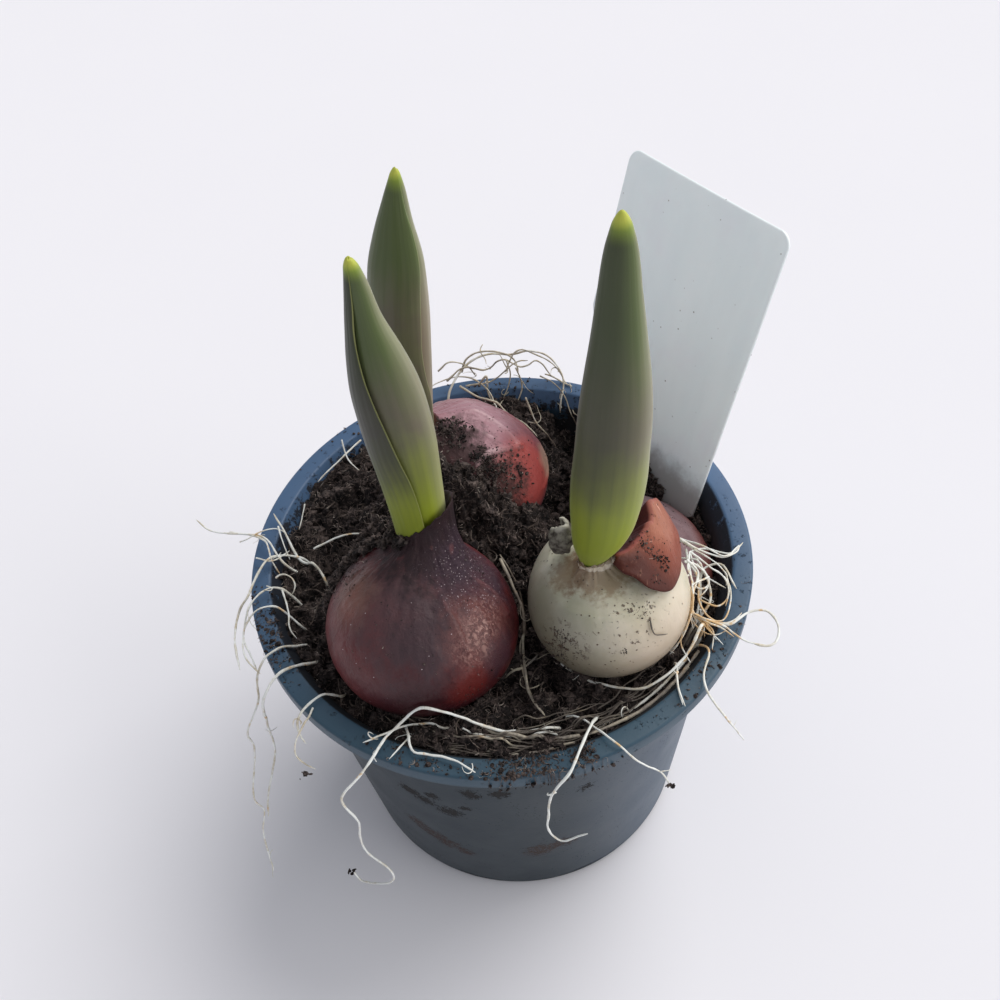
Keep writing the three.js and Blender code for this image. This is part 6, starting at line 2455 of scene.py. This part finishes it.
def front_mat() -> tuple:
    """Courses of the flat brown roots that lie side by side inside the front rim.

    Each one follows an arc of its own radius, with its points every 5 degrees and drawn a little off it.

    Returns:
        The points of each root.
    """
    draw = np.random.default_rng(Seed.ROOT_MAT)
    courses = []
    for _ in range(26):
        start = draw.uniform(-120, -66)
        stop = start + draw.uniform(16, 34)
        angle = np.radians(np.arange(start, stop, 5.0))
        radius = draw.uniform(46.5, 53.4) + draw.uniform(-2.5, 2.5) * np.linspace(-0.5, 0.5, len(angle))
        radius = radius + draw.normal(0, 0.45, len(angle))
        height = 92.4 + draw.uniform(-0.6, 0.9, len(angle))
        points = turned(radius, angle, height)
        courses.append(tuple(map(tuple, points)))
    return tuple(courses)


def loose_tangles() -> tuple[RootBunch, ...]:
    """Finer roots that lie in tangles over the bunches, each led through its own points."""
    right = RootBunch("tangle_right", (40, -28, 97), (
        ((42.4, -6.6, 99), (46.7, -11.2, 101), (51, -13.9, 100), (55.7, -9.8, 98)),
        ((42.3, -7.2, 99), (44.4, -12.8, 102), (48, -15.7, 101), (50.8, -18.2, 98.5), (50.2, -20.3, 97.5)),
        ((42.9, -11, 100), (42.4, -16.3, 101), (42.7, -21.6, 100), (46.1, -20.8, 99), (45.1, -14.5, 100),
         (44.3, -11, 99)),
        ((41.5, -12.4, 99), (45.1, -14.5, 100), (45.8, -17.9, 99), (50.2, -20.7, 97)),
        ((41.8, -18.8, 101), (39, -20.6, 101), (37.9, -24.9, 101), (39.6, -29.4, 101), (42, -29.9, 100),
         (44.9, -34, 97)),
        ((40.7, -20.8, 102), (39.5, -24.5, 102), (40.5, -28.2, 101), (42.9, -31.4, 99), (46.1, -35.5, 97)),
        ((37.7, -26.3, 100), (34.9, -31.6, 99), (34.6, -34, 95), (35.8, -34.3, 94)),
        ((39.8, -28.6, 101), (42.8, -30.9, 101), (46.8, -32.3, 99.5), (49.5, -34.5, 98), (52.2, -36.1, 97.5),
         (56.1, -36.5, 96)),
        ((42.2, -29.5, 99), (44.5, -32.3, 98), (43.6, -36.1, 96.5)),
        ((43.5, -23.8, 98), (46.8, -25.6, 97.5), (49.7, -23.8, 97.5), (51, -19, 97.5), (50.7, -15.7, 97)),
        ((40.2, -14, 100), (41, -20, 101.5), (40, -26, 100.5), (41, -31, 99), (44.5, -33, 97.5),
         (47.5, -32, 97)),
        ((41.6, -15, 98), (39.6, -22, 100.5), (38.4, -28.5, 99.5), (37.4, -33, 96), (38.5, -38, 95.5)),
        ((43, -13, 98), (44, -19, 99.5), (43, -25, 99), (45, -29.5, 98), (49, -30, 97.2), (52, -28, 97)),
        ((40.9, -12.1, 106), (44.9, -12.5, 102), (50.8, -13.8, 99.5), (54.3, -12.3, 98.5), (55.9, -10.1, 98)),
        ((42.3, -15.9, 106), (46.2, -18.3, 103), (49.5, -20.1, 100.5), (50.2, -22.6, 98.5),
         (48.9, -25.8, 97.5)),
        ((39.3, -19.6, 107), (42, -18.8, 105.5), (45.2, -20.1, 102.5), (45.6, -22, 100.5), (43.3, -24, 99.5)),
        ((42.2, -16.3, 106.5), (40.1, -22, 106), (37.8, -27.2, 105), (35.9, -30.8, 103), (34.6, -33.8, 100),
         (34.4, -35.9, 96.5)),
        ((38.3, -26.5, 104), (39.1, -28.3, 102), (40, -30.1, 100), (40.3, -31.4, 98.5)),
        ((41.4, -29.4, 101), (43.7, -31.1, 99.5), (46.8, -32, 98), (48.9, -33.8, 97)),
        ((45.7, -21, 102.5), (41, -23.9, 104), (38.1, -27.3, 104), (37.1, -30.2, 103)),
        ((49.7, -19.7, 100), (50.7, -22.7, 98.5), (47.4, -29.6, 97.8), (41.3, -29.8, 100.5)),
        ((35.5, -38.1, 96), (34.7, -42.5, 95.2), (34.9, -47.9, 95)),
        ((40.9, -19, 107), (43.3, -20.4, 104), (41.6, -24.4, 103), (39.8, -28.1, 102.5), (41.3, -30.5, 99.5)),
    ), seed=57, age=0.05, radius=0.24, clearance=0.4, hairs=0, loose=True)
    left = RootBunch("tangle_left", (-50, 0, 92), (
        ((-37.7, 38.1, 99), (-37.2, 35.5, 97), (-36.1, 32.7, 96), (-32.8, 28.9, 95)),
        ((-33.4, 41.7, 94.5), (-38.5, 35.9, 94.5), (-44.8, 28.8, 94)),
        ((-35.1, 38.8, 95.5), (-39.3, 33.7, 95.5), (-44, 29.2, 95)),
        ((-47.2, 19, 97), (-49.2, 13.3, 94)),
        ((-65.6, 12.6, 97), (-58.7, 9.3, 98), (-56, 6.9, 98.5), (-54.7, 2.3, 97), (-53.3, 0.1, 94)),
        ((-62.9, 9.1, 97), (-61.1, 8.7, 98), (-57.2, 10.5, 98.5), (-52.7, 11.4, 97), (-51.5, 9.6, 95),
         (-51.5, 9.3, 93)),
        ((-58.6, 3.5, 97), (-54.6, 2, 97), (-51.2, 6.9, 94)),
        ((-53.4, 12, 98), (-52.3, 7.3, 96.5), (-51, 4.1, 94)),
        ((-53.4, -3.2, 97), (-51.9, -2.6, 97.5), (-49.6, -3.8, 97), (-49, -6.1, 96), (-49.9, -7.3, 95)),
        ((-44.9, 5.5, 95.5), (-37.7, 7.3, 97), (-32.7, 6.7, 98)),
        ((-52.1, -5.6, 96), (-50.5, -11.8, 95.5), (-50, -16.6, 95), (-48.6, -18.8, 93.5)),
    ), seed=58, age=0.1, radius=0.24, clearance=0.4, hairs=0, loose=True)
    back = RootBunch("tangle_back", (5, 55, 95), (
        ((-11.1, 59, 100.3), (-7.5, 59, 103.1), (-3.1, 59, 101), (-0.9, 59, 96.9)),
        ((-4.7, 60, 98.1), (-3.2, 60, 102.3), (-0.2, 60, 104.4), (4.2, 60, 104.4), (8.9, 60, 101.9),
         (10.4, 60, 99.5), (10.8, 59, 96)),
        ((7.4, 58, 98.1), (8.8, 58, 102.3), (11.1, 58, 105.5), (14.3, 58, 104.3), (18.6, 57, 101.9),
         (21.8, 56, 98.1), (24.5, 52, 92.5), (27.2, 48, 90)),
        ((-4, 56, 96.4), (2.7, 56, 96.9), (7.4, 56, 100.6), (10.3, 56, 103.1), (13.5, 56, 103.3)),
        ((10, 54, 102.8), (11.3, 54, 95.9), (9.3, 52, 90.9)),
        ((7.6, 57, 103.3), (8.5, 56, 98.8), (5.8, 53, 92.4)),
        ((16.1, 50, 102.6), (19.2, 50, 99.9), (21.8, 50, 95.8), (24.5, 47, 89.3), (25.8, 44, 84.4)),
        ((-0.1, 55, 97.5), (1.8, 55, 100.2), (1.9, 54, 94.9), (3.3, 52, 90.9)),
        ((17.9, 56, 97.5), (21, 55, 96.3), (24.8, 52, 92.7), (26.4, 48, 87.1)),
        ((-5.6, 53.5, 99), (-0.5, 49, 98), (3.6, 47.8, 97), (5.5, 44.4, 97), (9.3, 40.5, 95), (12.5, 36, 93)),
        ((11.6, 46, 99), (14, 43, 92), (17, 41, 88), (18.5, 38, 84)),
        ((-9, 57, 98), (-4, 58, 101.5), (2, 57.5, 100), (6.5, 58.5, 102.5), (12, 57, 100), (16, 57.5, 101.5),
         (20, 55, 97)),
    ), seed=59, age=0.6, radius=0.27, clearance=0.4, hairs=1, loose=True)
    stems = RootBunch("stems_front", (0, -50, 92), (
        ((41.8, -33.7, 92.3), (34.6, -42.5, 92.3), (26, -46.8, 92.3), (16.9, -49.9, 92.3)),
        ((7.9, -53.9, 92.3), (1.5, -54, 92.3), (-6.7, -52, 92.3), (-14, -49.7, 92.3)),
        ((11.2, -52.4, 92.3), (3.8, -52.4, 92.3), (-4.5, -50.5, 92.3), (-12.4, -48.5, 92.3)),
        ((38.8, -37.5, 92.3), (31.8, -43.8, 92.3), (23.2, -47.8, 92.3), (13.8, -50.9, 92.3)),
        ((12.4, -50.6, 92.3), (5.5, -50.9, 92.8), (-1, -49.8, 92.5), (-7, -47.9, 92.5)),
        ((0, -1, 91.5), (2.1, -8, 90), (3.8, -13.8, 88.5), (3.7, -19.5, 88), (2.8, -27.2, 91), (2.7, -33, 92),
         (2.8, -38.5, 92.4), (4, -42.8, 93), (5.7, -45.5, 93)),
    ), seed=60, age=0.85, radius=0.42, clearance=0.4, hairs=0, loose=True)
    mat = RootBunch(
        "stems_mat", (0, -50, 92), front_mat(), seed=63, age=0.95, radius=0.19, clearance=0.3, hairs=0,
        loose=True,
    )
    rootlets = RootBunch("rootlets_brown", (29, -38, 110), (
        ((29, -36.8, 112.4), (29.2, -37.9, 110.9), (30, -38.6, 109.4), (31.5, -38.4, 108.5),
         (32.9, -37.8, 107.7)),
        ((-28.6, -41.4, 33.5), (-27.9, -41.6, 31.5), (-28.6, -41.2, 29.2)),
    ), seed=61, age=0.95, radius=0.2, clearance=0.25, hairs=0, loose=True)
    hanging = RootBunch("rootlet_hanging", (-46, -43, 92), (
        ((-44, -38.5, 94), (-45.8, -43, 96.3), (-48, -46.5, 94), (-47.4, -48, 90), (-44.6, -48.8, 87.5)),
    ), seed=62, age=0.4, radius=0.24, clearance=0.3, hairs=0, loose=True)
    return right, left, back, stems, mat, rootlets, hanging


def main() -> None:
    """Load the frame, build the plant and the studio."""
    logging.basicConfig(level=logging.INFO, format="%(message)s")
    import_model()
    PottedBulbs().build()
    Studio().build()
    bpy.context.view_layer.update()


if __name__ == "__main__":
    main()
